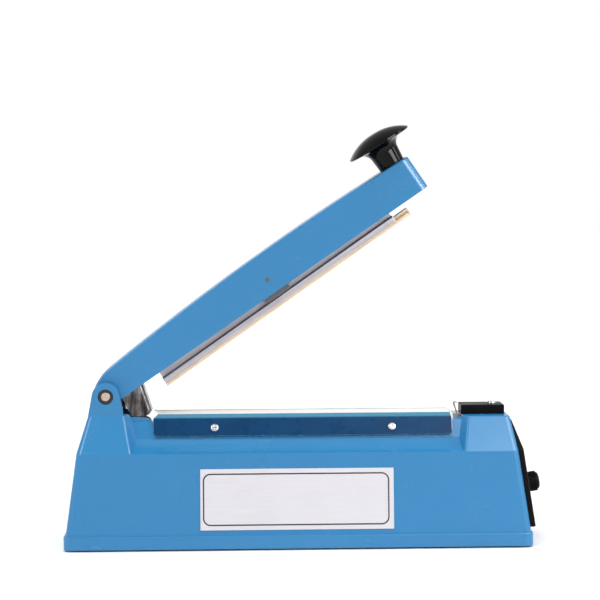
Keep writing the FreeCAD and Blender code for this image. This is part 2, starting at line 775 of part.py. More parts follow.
# Underside
def make_base():
    half_x, half_y = "(housing_length / 2 - base_plate_inset)", "(housing_width / 2 - base_plate_inset)"
    plate = new_body("base_plate")
    face = new_sketch(plate, "base_plate_outline", offset="boss_bottom - base_plate_thickness")
    rounded_rectangle(face, "-" + half_x, half_x, "-" + half_y, half_y, "flange_corner / 2")
    pad(plate, face, "base_plate_thickness")
    holes = new_sketch(plate, "base_plate_holes", offset="boss_bottom - base_plate_thickness")
    for x in ("-boss_x", "boss_x"):
        for y in ("-boss_y", "boss_y"):
            circle(holes, x, y, "base_screw_radius + running_clearance")
    pocket(plate, holes, "base_plate_thickness", reverse=True)
    in_housing(plate)

    feet, screws = [], []
    plate_bottom = "(boss_bottom - base_plate_thickness)"
    for number, (x, y) in enumerate(((-1, -1), (-1, 1), (1, -1), (1, 1)), start=1):
        foot = doc.addObject("Part::Cone", "foot_cone_%d" % number)
        bind(foot, Radius1="foot_radius - 1.0", Radius2="foot_radius", Height=plate_bottom)
        feet.append(place(foot, "%d * foot_x" % x, "%d * foot_y" % y, "0"))
        spot = ("%d * boss_x" % x, "%d * boss_y" % y)
        shank = rod("base_shank_%d" % number, "base_screw_radius", "base_screw_reach + base_plate_thickness",
                    (spot[0], spot[1], plate_bottom))
        head = doc.addObject("Part::Cone", "base_head_%d" % number)
        bind(head, Radius1="base_screw_radius * 1.3", Radius2="base_screw_radius * 1.9",
             Height="base_screw_head")
        place(head, spot[0], spot[1], plate_bottom + " - base_screw_head")
        screws.append(join("base_screw_%d" % number, [shank, head]))
    in_housing(collect("rubber_feet", feet))
    in_housing(collect("base_screws", screws))


# Hinge pin and its push-on retainers
def make_hinge():
    pin = rod("hinge_pin_rod", "pin_radius", "2 * (block_half_width - pin_sink)",
              ("-pivot_back", "0 - block_half_width + pin_sink", "pivot_height"), "y")
    pin = soften("hinge_pin", pin, "0.5", lambda edge: edge.Curve.TypeId == "Part::GeomCircle")
    in_housing(keep(pin, "hinge_pin"))
    rings = []
    for side in SIDES:
        start = ("0 - block_half_width + retainer_sink" if side == "front"
                 else "block_half_width - retainer_depth")
        disc = rod(side + "_retainer_disc", "retainer_radius - 0.1", "retainer_depth - retainer_sink",
                   ("-pivot_back", start, "pivot_height"), "y")
        hole = rod(side + "_retainer_hole", "pin_radius + running_clearance / 2", "retainer_depth",
                   ("-pivot_back", start + " - 0.2", "pivot_height"), "y")
        rings.append(carve(side + "_retainer", disc, hole))
    in_housing(collect("pin_retainers", rings))


# Press arm: an arched channel, open below, closed at its nose and tail
def make_arm():
    body = new_body("press_arm")
    side = new_sketch(body, "arm_side", "XZ_Plane")
    back_x, back_z, nape_x, nape_z = nape_ends()
    outline(side, [
        ("sqrt(arm_tail_radius^2 - arm_drop^2)", "-arm_drop"),
        ("arm_length", "-arm_drop"),
        ("arm_length", under_arch("arm_length", "arm_arch_radius"), "arm_arch_radius", 1),
        (nape_x, nape_z, "arm_nape_radius", 1),
        (back_x, back_z, "arm_tail_radius", 1),
        ("-arm_tail_radius", "0", "arm_tail_radius", 1),
    ])
    pad(body, side, "arm_width", midplane=True)
    round_edges(body, "arm_corners", "arm_corner_round",
                lambda edge: abs(heading(edge).z) > 0.9 and middle(edge).x > size("arm_length") - 0.1)
    round_edges(body, "arm_round", "arm_edge_round", on_arm_rim)

    inner = new_sketch(body, "arm_channel", "XZ_Plane")
    inner_radius, end_x = "(arm_arch_radius - arm_wall)", "(arm_length - 2 * arm_wall)"
    outline(inner, [
        ("-arm_tail_radius + arm_wall", "-2 * arm_tail_radius"),
        (end_x, "-2 * arm_tail_radius"),
        (end_x, under_arch(end_x, inner_radius), inner_radius, 1),
        ("10", under_arch("10", inner_radius)),
        ("-arm_tail_radius + arm_wall", "arm_tail_radius / 3"),
    ])
    pocket(body, inner, "arm_width - 2 * arm_wall", midplane=True)

    bores = new_sketch(body, "arm_bores", "XZ_Plane")
    circle(bores, "0", "0", "pin_radius + running_clearance")
    circle(bores, "rocker_x", "rocker_z", "rocker_radius + running_clearance / 2")
    circle(bores, "rivet_x", "rivet_z", "rivet_radius + running_clearance / 2")
    pocket(body, bores, "arm_width", midplane=True)

    bolt = tilted_sketch(body, "knob_bolt_hole", ("knob_x", "0", "knob_seat_z"), (0, 1, 0), "knob_tilt")
    circle(bolt, "0", "0", "knob_bolt_radius + running_clearance")
    pocket(body, bolt, "4 * arm_wall", midplane=True)
    on_arm(body)


def under_arch(x, radius):
    """Height of the arch, or of one inside it, at a place along the arm."""
    return "(arm_arch_z - arm_arch_radius + sqrt(%s^2 - (%s - arm_arch_x)^2))" % (radius, x)


def nape_ends():
    """Where the nape's arc touches the tail's circle and the arch, each tangent to it."""
    centre_x, centre_z = "arm_arch_x", "(arm_arch_z - arm_arch_radius)"
    away = "sqrt(%s^2 + %s^2)" % (centre_x, centre_z)
    near, far = "(arm_nape_radius - arm_tail_radius)", "(arm_arch_radius - arm_nape_radius)"
    along = "((%s^2 + %s^2 - %s^2) / (2 * %s))" % (away, near, far, away)
    aside = "sqrt(%s^2 - %s^2)" % (near, along)
    x = "((%s * %s - %s * %s) / %s)" % (along, centre_x, aside, centre_z, away)
    z = "((%s * %s + %s * %s) / %s)" % (along, centre_z, aside, centre_x, away)
    return ("-1 * %s * arm_tail_radius / %s" % (x, near), "-1 * %s * arm_tail_radius / %s" % (z, near),
            "%s + (%s - %s) * arm_nape_radius / %s" % (x, x, centre_x, far),
            "%s + (%s - %s) * arm_nape_radius / %s" % (z, z, centre_z, far))


def on_arm_rim(edge):
    """Edges all round the arm, other than those of its open underside."""
    spot = middle(edge)
    outer = abs(spot.y) > size("arm_width") / 2 - 0.01 or spot.x > size("arm_length - arm_corner_round") + 0.1
    return outer and abs(spot.z + size("arm_drop")) > 0.01 and abs(heading(edge).z) < 0.95


# Bracket that stiffens the tail of the arm and works the spring and the switch
def make_tail_bracket():
    body = new_body("tail_bracket")
    side = new_sketch(body, "bracket_side", "XZ_Plane")
    outline(side, [
        ("0", "-5.6", "5.8", -1),
        ("0", "5.6"),
        ("5.0", "bracket_top_z"),
        ("bracket_top_x", "bracket_top_z"),
        ("bracket_foot_x", "-bracket_foot_z"),
        ("4.5", "-bracket_foot_z - 1.1"),
        ("7.5", "-9.5"),
    ])
    pad(body, side, "bracket_width", midplane=True)
    round_edges(body, "bracket_bends", "bracket_bend", on_bracket_bend)
    inner = new_sketch(body, "bracket_inside", "XZ_Plane")
    outline(inner, [
        ("-10", "-40"),
        (web_x("(-40)"), "-40"),
        (web_x("20"), "20"),
        ("-10", "20"),
    ])
    pocket(body, inner, "bracket_width - 2 * bracket_sheet", midplane=True)
    bores = new_sketch(body, "bracket_bores", "XZ_Plane")
    circle(bores, "0", "0", "pin_radius + running_clearance")
    circle(bores, "rivet_x", "rivet_z", "rivet_radius + running_clearance / 2")
    pocket(body, bores, "arm_width", midplane=True)

    tab = new_sketch(body, "spring_tab", "XZ_Plane")
    outline(tab, [
        ("7.2", "-spring_tab_z"), (web_x("(-spring_tab_z)") + " + 0.3", "-spring_tab_z"),
        (web_x("(-spring_tab_z)") + " + 0.3", "-spring_tab_z + 1.2"), ("7.2", "-spring_tab_z + 1.2")])
    pad(body, tab, "bracket_width - 1.0", midplane=True)
    on_arm(body)

    rivet = rod("bracket_rivet_shank", "rivet_radius", "arm_width + 0.2",
                ("rivet_x", "-arm_width / 2 - 0.1", "rivet_z"), "y")
    on_arm(collect("bracket_rivet", [rivet]))


def web_x(z):
    """Place along the arm of the inner face of the bracket's web, at a height."""
    slope = "((bracket_top_x - bracket_foot_x) / (bracket_top_z + bracket_foot_z))"
    return "(bracket_foot_x + (%s + bracket_foot_z) * %s - bracket_sheet)" % (z, slope)


def on_bracket_bend(edge):
    """The two long bends between the bracket's web and its cheeks."""
    spot = middle(edge)
    return abs(abs(spot.y) - size("bracket_width") / 2) < 0.01 and abs(heading(edge).z) > 0.9 and spot.x > size(
        "bracket_foot_x")


# Handle knob: a dome on a flared neck, and the bolt that holds it
def make_handle():
    body = new_body("handle_knob")
    half = new_sketch(body, "knob_profile", "XZ_Plane")
    outline(half, [
        ("0", "0"),
        ("knob_neck_radius", "0"),
        ("knob_neck_top", "knob_neck_height", "knob_flare_radius", -1),
        ("knob_neck_top + 0.92 * knob_flare_radius", "knob_rim_height - 0.4"),
        ("knob_rim_radius - 0.7", "knob_rim_height"),
        ("knob_rim_radius", "knob_rim_height + 0.5"),
        ("knob_rim_radius", "knob_rim_height + knob_rim_thickness"),
        ("knob_rim_radius - 0.8", "knob_rim_height + knob_rim_thickness + 0.6", "knob_dome_radius", 1),
        ("knob_top_flat", "knob_height"),
        ("0", "knob_height"),
    ])
    revolve(body, half)
    hole = new_sketch(body, "knob_thread")
    circle(hole, "0", "0", "knob_bolt_radius + running_clearance")
    pocket(body, hole, "knob_bolt_reach + 1", reverse=True)
    on_knob_axis(body)

    shank = rod("knob_bolt_shank", "knob_bolt_radius", "arm_wall + 2.4 + knob_bolt_reach",
                ("0", "0", "-arm_wall - 2.4"))
    head = doc.addObject("Part::Prism", "knob_bolt_head")
    head.Polygon = 6
    bind(head, Circumradius="2 * knob_bolt_radius", Height="4")
    place(head, "0", "0", "-arm_wall - 5.4")
    washer = rod("knob_washer", "1.8 * knob_bolt_radius", "1", ("0", "0", "-arm_wall - 1.4"))
    on_knob_axis(keep(join("knob_bolt_solid", [shank, head, washer]), "knob_bolt"))


def on_knob_axis(obj):
    """Local z points up the handle's axis, from its seat on the arm."""
    x = "centre_shift - pivot_back + knob_x * cos(open_angle) - knob_seat_z * sin(open_angle)"
    z = "pivot_height + knob_x * sin(open_angle) + knob_seat_z * cos(open_angle)"
    return place(obj, x, "0", z, (0, -1, 0), "open_angle - knob_tilt")


# Seal bar: an extrusion that rocks on a cross pin and holds the silicone strip in its slot
BAR_BOTTOM = "(bar_top + bar_depth)"


def make_seal_bar():
    body = new_body("seal_bar_holder")
    section = new_sketch(body, "bar_section", "YZ_Plane", "bar_start")
    right = [
        ("slot_neck_half", "-" + BAR_BOTTOM), ("bar_half_width", "-" + BAR_BOTTOM),
        ("bar_half_width", "-bar_top - 1.0"), ("bar_half_width - 1.0", "-bar_top"),
        ("stem_half_width", "-bar_top"), ("stem_half_width", "-stem_top")]
    left = [("-(%s)" % y, z) for y, z in reversed(right)]
    neck_top = "-%s + slot_neck_depth" % BAR_BOTTOM
    head_top = "-%s + slot_neck_depth + slot_head_depth" % BAR_BOTTOM
    slot = [
        ("-slot_neck_half", neck_top), ("-slot_head_half", neck_top), ("-slot_head_half", head_top),
        ("slot_head_half", head_top), ("slot_head_half", neck_top), ("slot_neck_half", neck_top)]
    outline(section, right + left + slot)
    pad(body, section, "bar_end - bar_start")
    notch = new_sketch(body, "stem_notch", "XZ_Plane")
    rectangle(notch, "rocker_x - rocker_half_length - 2", "rocker_x + rocker_half_length + 2",
              "-stem_top - stem_notch", "0")
    pocket(body, notch, "4 * stem_half_width", midplane=True)
    on_bar(body)

    strip = new_body("silicone_strip")
    profile = new_sketch(strip, "silicone_section", "YZ_Plane", "silicone_start")
    half = "silicone_half_width"
    low = "-%s - silicone_drop" % BAR_BOTTOM
    lip_top = "-%s - slot_clearance" % BAR_BOTTOM
    outline(profile, [
        ("-%s + 0.8" % half, low), ("%s - 0.8" % half, low), (half, low + " + 0.8"), (half, lip_top),
        ("slot_neck_half - slot_clearance", lip_top),
        ("slot_neck_half - slot_clearance", neck_top + " + slot_clearance"),
        ("slot_head_half - slot_clearance", neck_top + " + slot_clearance"),
        ("slot_head_half - slot_clearance", head_top + " - slot_clearance"),
        ("-slot_head_half + slot_clearance", head_top + " - slot_clearance"),
        ("-slot_head_half + slot_clearance", neck_top + " + slot_clearance"),
        ("-slot_neck_half + slot_clearance", neck_top + " + slot_clearance"),
        ("-slot_neck_half + slot_clearance", lip_top), ("-" + half, lip_top),
        ("-" + half, low + " + 0.8")])
    pad(strip, profile, "silicone_end - silicone_start")
    on_bar(strip)

    hanger = new_body("rocker_block")
    form = new_sketch(hanger, "rocker_side", "XZ_Plane")
    outline(form, [
        ("rocker_x - rocker_half_length", "-bar_top"), ("rocker_x + rocker_half_length", "-bar_top"),
        ("rocker_x + rocker_half_length", "-stem_top - stem_notch"),
        ("rocker_x + 4.5", "rocker_z", "4.6", 1), ("rocker_x - 4.5", "rocker_z"),
        ("rocker_x - rocker_half_length", "-stem_top - stem_notch")])
    pad(hanger, form, "arm_width - 2 * arm_wall - 3.0", midplane=True)
    saddle = new_sketch(hanger, "rocker_saddle", "YZ_Plane", "rocker_x - rocker_half_length")
    rectangle(saddle, "-stem_half_width", "stem_half_width", "-bar_top", "-stem_top - stem_notch")
    pocket(hanger, saddle, "2 * rocker_half_length", reverse=True)
    bore = new_sketch(hanger, "rocker_bore", "XZ_Plane")
    circle(bore, "rocker_x", "rocker_z", "rocker_radius + running_clearance")
    pocket(hanger, bore, "arm_width", midplane=True)
    on_bar(hanger)

    pin = rod("rocker_pin_rod", "rocker_radius", "arm_width + 0.6",
              ("rocker_x", "-arm_width / 2 - 0.3", "rocker_z"), "y")
    on_arm(collect("rocker_pin", [pin]))


# Sealing platform: insulating strip, heating element, coated sheet and the two clamp plates
SIDE_FOLD = "(platform_top - platform_chamfer)"


def set_off(y, z, distance, angle_a, angle_b):
    """Corner moved out by a distance from the two faces that meet at it, given their normals."""
    between = "((%s + %s) / 2)" % (angle_a, angle_b)
    spread = "cos((%s - %s) / 2)" % (angle_b, angle_a)
    return ("%s + %s * cos(%s) / %s" % (y, distance, between, spread),
            "%s + %s * sin(%s) / %s" % (z, distance, between, spread))


def wrap_points(distance, low_z, lip=None):
    """Right-hand half of the platform's outline at a distance out from it, from low_z upwards."""
    fold_y, top_y = ridge_y(SIDE_FOLD), "(%s - platform_chamfer)" % ridge_y(SIDE_FOLD)
    points = [set_off(ridge_y(low_z), low_z, distance, "ridge_lean", "ridge_lean"),
              set_off(fold_y, SIDE_FOLD, distance, "ridge_lean", "45")]
    if lip:
        points.append(set_off("%s - platform_chamfer * %s" % (fold_y, lip),
                              "%s + platform_chamfer * %s" % (SIDE_FOLD, lip), distance, "45", "45"))
    else:
        points.append(set_off(top_y, "platform_top", distance, "45", "90"))
    return points


def mirrored(points):
    return [("-(%s)" % y, z) for y, z in points]


def make_platform():
    top_y = "(%s - platform_chamfer)" % ridge_y(SIDE_FOLD)
    half = [("ridge_half_width", "ridge_top"), (ridge_y(SIDE_FOLD), SIDE_FOLD), (top_y, "platform_top"),
            ("element_half_width", "platform_top"), ("element_half_width", "platform_top - element_thickness")]
    strip = new_body("platform_strip")
    section = new_sketch(strip, "platform_section", "YZ_Plane", "-platform_start")
    outline(section, half + mirrored(half)[::-1])
    pad(strip, section, "platform_start + platform_end")
    in_housing(strip)

    band = box("heating_element_band", ("-platform_start", "platform_end"),
               ("-element_half_width", "element_half_width"),
               ("platform_top - element_thickness", "platform_top"))
    in_housing(collect("heating_element", [band]))

    cloth = new_body("coated_sheet")
    wrap = new_sketch(cloth, "sheet_section", "YZ_Plane", "-sheet_start")
    inner, outer = wrap_points("0", "sheet_bottom"), wrap_points("sheet_thickness", "sheet_bottom")
    outline(wrap, outer + mirrored(outer)[::-1] + mirrored(inner) + inner[::-1])
    pad(cloth, wrap, "sheet_start + sheet_end")
    in_housing(cloth)

    for side in SIDES:
        make_clamp_plate(side)
    screws = [clamp_screw(side + "_" + name, side, x) for side in SIDES
              for name, x in (("back", "-clamp_screw_back"), ("front", "clamp_screw_front"))]
    in_housing(collect("clamp_screws", screws))


PLATE_FACE_Y = ("(%s + (sheet_thickness + plate_thickness) / cos(ridge_lean))"
                % ridge_y("clamp_screw_height"))
PLATE_TURN = {"front": "90 - ridge_lean", "rear": "ridge_lean - 90"}


def make_clamp_plate(side):
    """Strip of sheet metal on the ridge's lean, its top edge folded over the platform's chamfer."""
    body = new_body(side + "_clamp_plate")
    section = new_sketch(body, side + "_plate_section", "YZ_Plane", "-plate_start")
    outer = wrap_points("(sheet_thickness + plate_thickness)", "plate_bottom", "plate_lip")
    inner = wrap_points("sheet_thickness", "plate_bottom", "plate_lip")
    ring = outer + inner[::-1]
    outline(section, ring if side == "rear" else mirrored(ring)[::-1])
    pad(body, section, "plate_start + plate_end")
    for name, end, sign in (("back", "-plate_start", "1"), ("front", "plate_end", "-1")):
        trim = new_sketch(body, "%s_plate_%s_trim" % (side, name), "XZ_Plane")
        outline(trim, [
            (end, SIDE_FOLD), ("%s + %s * plate_end_slope" % (end, sign), "platform_top + 2 * plate_thickness"),
            ("%s - %s * 5" % (end, sign), "platform_top + 2 * plate_thickness"),
            ("%s - %s * 5" % (end, sign), SIDE_FOLD)])
        pocket(body, trim, "housing_width", midplane=True)
    round_edges(body, side + "_plate_round", "plate_corner",
                lambda edge: abs(heading(edge).x) < 0.1 and middle(edge).z < size("plate_bottom") + 0.5)
    holes = tilted_sketch(body, side + "_plate_holes",
                          ("0", "%s * %s" % (SIGN[side], PLATE_FACE_Y), "clamp_screw_height"),
                          (1, 0, 0), PLATE_TURN[side])
    for x in ("-clamp_screw_back", "clamp_screw_front"):
        circle(holes, x, "0", "clamp_shank_radius + running_clearance")
    pocket(body, holes, "4 * plate_thickness", midplane=True)
    in_housing(body)


def clamp_screw(name, side, x):
    """Pan-head screw with a cross recess, square to the plate."""
    head = rod(name + "_head", "clamp_head_radius", "clamp_head_height", ("0", "0", "0"))
    top = size("clamp_head_height")
    head = soften(name + "_pan", head, "clamp_head_height * 0.55",
                  lambda edge: len(edge.Vertexes) == 1 and abs(edge.Vertexes[0].Point.z - top) < 0.01)
    slots = [box("%s_slot_%s" % (name, way), ("-" + half_x, half_x), ("-" + half_y, half_y),
                 ("clamp_head_height - 0.7", "clamp_head_height + 1"))
             for way, half_x, half_y in (("flat", "1.5", "0.35"), ("upright", "0.35", "1.5"))]
    head = carve(name + "_recessed", head, join(name + "_cross", slots))
    shank = rod(name + "_shank", "clamp_shank_radius", "plate_thickness", ("0", "0", "-plate_thickness"))
    screw = join(name + "_screw", [head, shank])
    return place(screw, x, "%s * %s" % (SIGN[side], PLATE_FACE_Y), "clamp_screw_height",
                 (1, 0, 0), PLATE_TURN[side])


# Terminals that hold the ends of the heating element, and the cover over the live one
def make_terminals():
    strap_top = "timer_block_top + terminal_thickness"
    cover = box("cover_block", ("cover_start", "cover_end"), ("-cover_half_width", "cover_half_width"),
                ("timer_block_top", "cover_top"))
    groove = box("cover_groove", ("cover_start - 1", "cover_end - 12"), ("-6.5", "6.5"),
                 ("timer_block_top - 1", strap_top + " + 0.1"))
    cover = carve("cover_grooved", cover, groove)
    seat = rod("cover_screw_seat", "2.0", "cover_height + 2", ("cover_screw_x", "0", "timer_block_top - 1"))
    cover = carve("cover_bored", cover, seat)
    cover = soften("cover_rounded", cover, "cover_round", on_cover_rim)
    in_housing(keep(cover, "terminal_cover"))

    head = rod("cover_screw_head", "3.2", "1.5", ("cover_screw_x", "0", "cover_top"))
    top = size("cover_top + 1.5")
    head = soften("cover_screw_pan", head, "0.8",
                  lambda edge: len(edge.Vertexes) == 1 and abs(edge.Vertexes[0].Point.z - top) < 0.01)
    shank = rod("cover_screw_shank", "cover_screw_radius", "cover_height",
                ("cover_screw_x", "0", "timer_block_top"))
    in_housing(keep(join("cover_screw_solid", [head, shank]), "terminal_cover_screw"))

    strap = box("timer_end_strap", ("strap_start", "cover_end - 13"), ("-6", "6"),
                ("timer_block_top", strap_top))
    in_housing(collect("timer_end_terminal", [strap]))
    make_terminal_tab()

    foot_end = "(0 - platform_start - 2.6)"
    clip = box("hinge_end_clip_foot", (foot_end, "-platform_start"), ("-5", "5"),
               ("ridge_top", "ridge_top + 1.2"))
    rise = box("hinge_end_clip_rise", ("0 - platform_start - 1.2", "-platform_start"), ("-5", "5"),
               ("ridge_top", "platform_top"))
    in_housing(keep(join("hinge_end_metal", [clip, rise]), "hinge_end_terminal"))


def make_terminal_tab():
    """Bent tab of sheet metal that stands beside the seal bar's end, its tip curled over."""
    tab = new_body("terminal_tab")
    side = new_sketch(tab, "tab_side", "XZ_Plane", "silicone_half_width + 0.7")
    x, z, tip = "(cover_start - 2.9)", "timer_block_top", "(timer_block_top + lug_height)"
    thick = "terminal_thickness"
    outline(side, [
        (x, z), (x + " + 2.4", z), (x + " + 2.4", "%s + %s" % (z, thick)),
        ("%s + %s" % (x, thick), "%s + %s" % (z, thick)), ("%s - 2.2 + %s" % (x, thick), tip + " - 1.5"),
        (x + " - 1.4", "%s - %s" % (tip, thick)), (x + " + 0.6", tip + " - 1.1"), (x + " + 0.9", tip + " - 0.6"),
        (x + " - 1.3", tip), (x + " - 2.0", tip + " - 0.2"), (x + " - 2.8", tip + " - 1.5")])
    pad(tab, side, "cover_half_width - silicone_half_width - 0.7")
    in_housing(tab)


def on_cover_rim(edge):
    """Top rim and upright corners of the terminal cover."""
    spot, along = middle(edge), heading(edge)
    straight = len(edge.Vertexes) == 2
    top = abs(spot.z - size("cover_top")) < 0.01 and straight
    upright = abs(along.z) > 0.9 and abs(abs(spot.y) - size("cover_half_width")) < 0.01
    return top or (upright and straight)


# Timer end: black panel, knob with its potentiometer, and two lamps
def make_timer_end():
    lower_x = "(housing_length / 2 - flange_step - %s * (end_panel_bottom - flange_top))" % PANEL_SLOPE
    upper_x = "(timer_block_outer + %s * (timer_block_top - end_panel_top))" % UPPER_SLOPE
    thick = "end_panel_thickness"
    panel = new_body("end_panel")
    side = new_sketch(panel, "panel_side", "XZ_Plane")
    outline(side, [
        (lower_x, "end_panel_bottom"), ("%s + %s" % (lower_x, thick), "end_panel_bottom"),
        ("shoulder_timer_end + " + thick, "shoulder_height + 0.5"),
        ("%s + 0.25 * %s" % (upper_x, thick), "end_panel_top"),
        (upper_x, "end_panel_top"), ("shoulder_timer_end", "shoulder_height")])
    pad(panel, side, "housing_width", midplane=True)
    for name, sign in (("front", "-"), ("rear", "")):
        trim = new_sketch(panel, name + "_panel_trim", "YZ_Plane", "timer_block_outer - 20")
        low_y = "(housing_width / 2 - flange_step - %s * (end_panel_bottom - flange_top))" % FRONT_SLOPE
        outline(trim, [
            (sign + "(%s - end_panel_margin)" % low_y, "end_panel_bottom - 1"),
            (sign + "(shoulder_half_width - end_panel_margin)", "shoulder_height"),
            (sign + "(block_half_width - end_panel_margin)", "end_panel_top + 1"),
            (sign + "housing_width", "end_panel_top + 1"), (sign + "housing_width", "end_panel_bottom - 1")])
        pocket(panel, trim, "60", reverse=True)
    round_edges(panel, "panel_round", "end_panel_round", on_panel_rim)
    hole = tilted_sketch(panel, "panel_bushing_hole", (TIMER_WALL, "0", "timer_height"), (0, 1, 0),
                         "90 - %s" % PANEL_LEAN)
    circle(hole, "0", "0", "bushing_radius + running_clearance")
    pocket(panel, hole, "4 * end_panel_thickness", midplane=True)
    lamps = tilted_sketch(panel, "lamp_holes", (TIMER_WALL, "0", "timer_height"), (0, 1, 0),
                          "90 - %s" % PANEL_LEAN)
    for y in ("-lamp_half_spacing", "lamp_half_spacing"):
        circle(lamps, "timer_height - lamp_height", y, "lamp_radius + running_clearance")
    pocket(panel, lamps, "4 * end_panel_thickness", midplane=True)
    in_housing(panel)

    jewels = []
    for number, y in enumerate(("-lamp_half_spacing", "lamp_half_spacing"), start=1):
        lens = rod("lamp_lens_%d" % number, "lamp_radius", "end_panel_thickness + lamp_rise",
                   ("timer_height - lamp_height", y, "0"))
        top = size("end_panel_thickness + lamp_rise")
        jewels.append(soften("lamp_dome_%d" % number, lens, "lamp_rise - 0.1", lambda edge: (
            len(edge.Vertexes) == 1 and abs(edge.Vertexes[0].Point.z - top) < 0.01)))
    on_timer_axis(collect("indicator_lamps", jewels))

    pot = rod("pot_can", "pot_radius", "pot_depth", ("0", "0", "-shell_wall - pot_depth"))
    neck = rod("pot_bushing", "bushing_radius", "shell_wall + end_panel_thickness + 0.4",
               ("0", "0", "-shell_wall"))
    shaft_hole = rod("pot_shaft_hole", "timer_shaft_radius + running_clearance",
                     "shell_wall + end_panel_thickness + 4", ("0", "0", "-shell_wall - 2"))
    pot = carve("pot_hollow", join("pot_solid", [pot, neck]), shaft_hole)
    on_timer_axis(keep(pot, "potentiometer"))

    board_front = "(0 - shell_wall - pot_depth - 0.6)"
    board_back = "(%s - board_thickness)" % board_front
    board = box("board_blank", ("-24", "22"), ("-26", "26"), (board_back, board_front))
    relay = box("board_relay", ("4", "18"), ("-20", "-4"), (board_back + " - 11.8", board_back))
    capacitor = rod("board_capacitor", "5", "13", ("-14", "12", board_back + " - 13"))
    pins = box("board_pins", ("-3", "3"), ("-5", "5"), (board_front, board_front + " + 0.6"))
    on_timer_axis(keep(join("board_solid", [board, pins, relay, capacitor]), "timer_board"))

    core = doc.addObject("PartDesign::Body", "timer_knob_core")
    half = new_sketch(core, "timer_knob_profile", "XZ_Plane")
    seat = "end_panel_thickness + timer_knob_gap"
    top = "end_panel_thickness + timer_knob_height"
    outline(half, [
        ("bushing_radius + 0.3", seat), ("timer_knob_radius", seat), ("timer_knob_radius", seat + " + 1.0"),
        ("timer_knob_radius - 0.7", seat + " + 1.6"), ("timer_knob_radius - 0.9", top + " - 1.9"),
        ("timer_knob_radius - 1.5", top + " - 0.7"), ("timer_knob_radius - 2.9", top), ("0", top),
        ("0", "-shell_wall - 1"),
        ("timer_shaft_radius", "-shell_wall - 1"), ("timer_shaft_radius", "end_panel_thickness + 0.8"),
        ("bushing_radius + 0.3", "end_panel_thickness + 0.8")])
    revolve(core, half)
    ribs = []
    for number in range(int(size("timer_knob_ribs"))):
        rib = box("knob_rib_%d" % number, ("3", "timer_knob_radius - 0.2"), ("-0.35", "0.35"),
                  (seat + " + 1.0", top + " - 2.0"))
        turn = doc.addObject("Part::Compound", "knob_rib_turned_%d" % number)
        turn.Links = [rib]
        ribs.append(place(turn, "0", "0", "0", (0, 0, 1), "360 / timer_knob_ribs * %d" % number))
    on_timer_axis(keep(join("timer_knob_solid", [core] + ribs), "timer_knob"))


def on_panel_rim(edge):
    """Outer rim of the end panel's visible face."""
    spot, thick = middle(edge), size("end_panel_thickness")
    above = spot.z > size("shoulder_height")
    lower_x = size("housing_length / 2 - flange_step") - size(PANEL_SLOPE) * (spot.z - size("flange_top"))
    upper_x = size("shoulder_timer_end") - size(UPPER_SLOPE) * (spot.z - size("shoulder_height"))
    reach = (spot.x - upper_x) / (0.25 * thick) if spot.z > size("end_panel_top") - 0.1 else (
        (spot.x - (upper_x if above else lower_x)) / (0.5 * thick))
    across = abs(heading(edge).y) > 0.99 and size("end_panel_bottom") + thick < spot.z
    return reach > 0.9 and not across


# Label plate, flat on the leaning front wall
def make_label():
    plate = new_body("label_plate")
    face = new_sketch(plate, "label_outline")
    rectangle(face, "-label_length / 2", "label_length / 2", "-label_height / 2", "label_height / 2")
    pad(plate, face, "label_thickness")
    place(plate, "centre_shift + label_x",
          "-(housing_width / 2 - flange_step - %s * (label_z - flange_top))" % FRONT_SLOPE, "label_z",
          (1, 0, 0), "90 - %s" % FRONT_LEAN)


# Cord gland in the rear wall
def make_gland():
    stem = rod("gland_stem", "gland_bore + gland_wall", "gland_length", ("0", "0", "gland_head - gland_length"))
    flange = rod("gland_flange", "gland_radius", "gland_head", ("0", "0", "0"))
    hole = rod("gland_hole_tool", "gland_bore", "gland_length + 2",
               ("0", "0", "gland_head - gland_length - 1"))
    gland = carve("gland_solid", join("gland_blank", [stem, flange]), hole)
    keep(gland, "cord_gland")
    place(gland, "centre_shift + gland_x", GLAND_WALL, "gland_z", (1, 0, 0), "-90 + %s" % FRONT_LEAN)
    nut = doc.addObject("Part::Prism", "gland_nut_blank")
    nut.Polygon = 6
    bind(nut, Circumradius="gland_radius + 1.4", Height="4")
    place(nut, "0", "0", "-shell_wall - 4.3")
    bore = rod("gland_nut_bore", "gland_bore + gland_wall + running_clearance / 2", "6",
               ("0", "0", "-shell_wall - 5.3"))
    nut = carve("gland_nut_solid", nut, bore)
    keep(nut, "gland_nut")
    place(nut, "centre_shift + gland_x", GLAND_WALL, "gland_z", (1, 0, 0), "-90 + %s" % FRONT_LEAN)


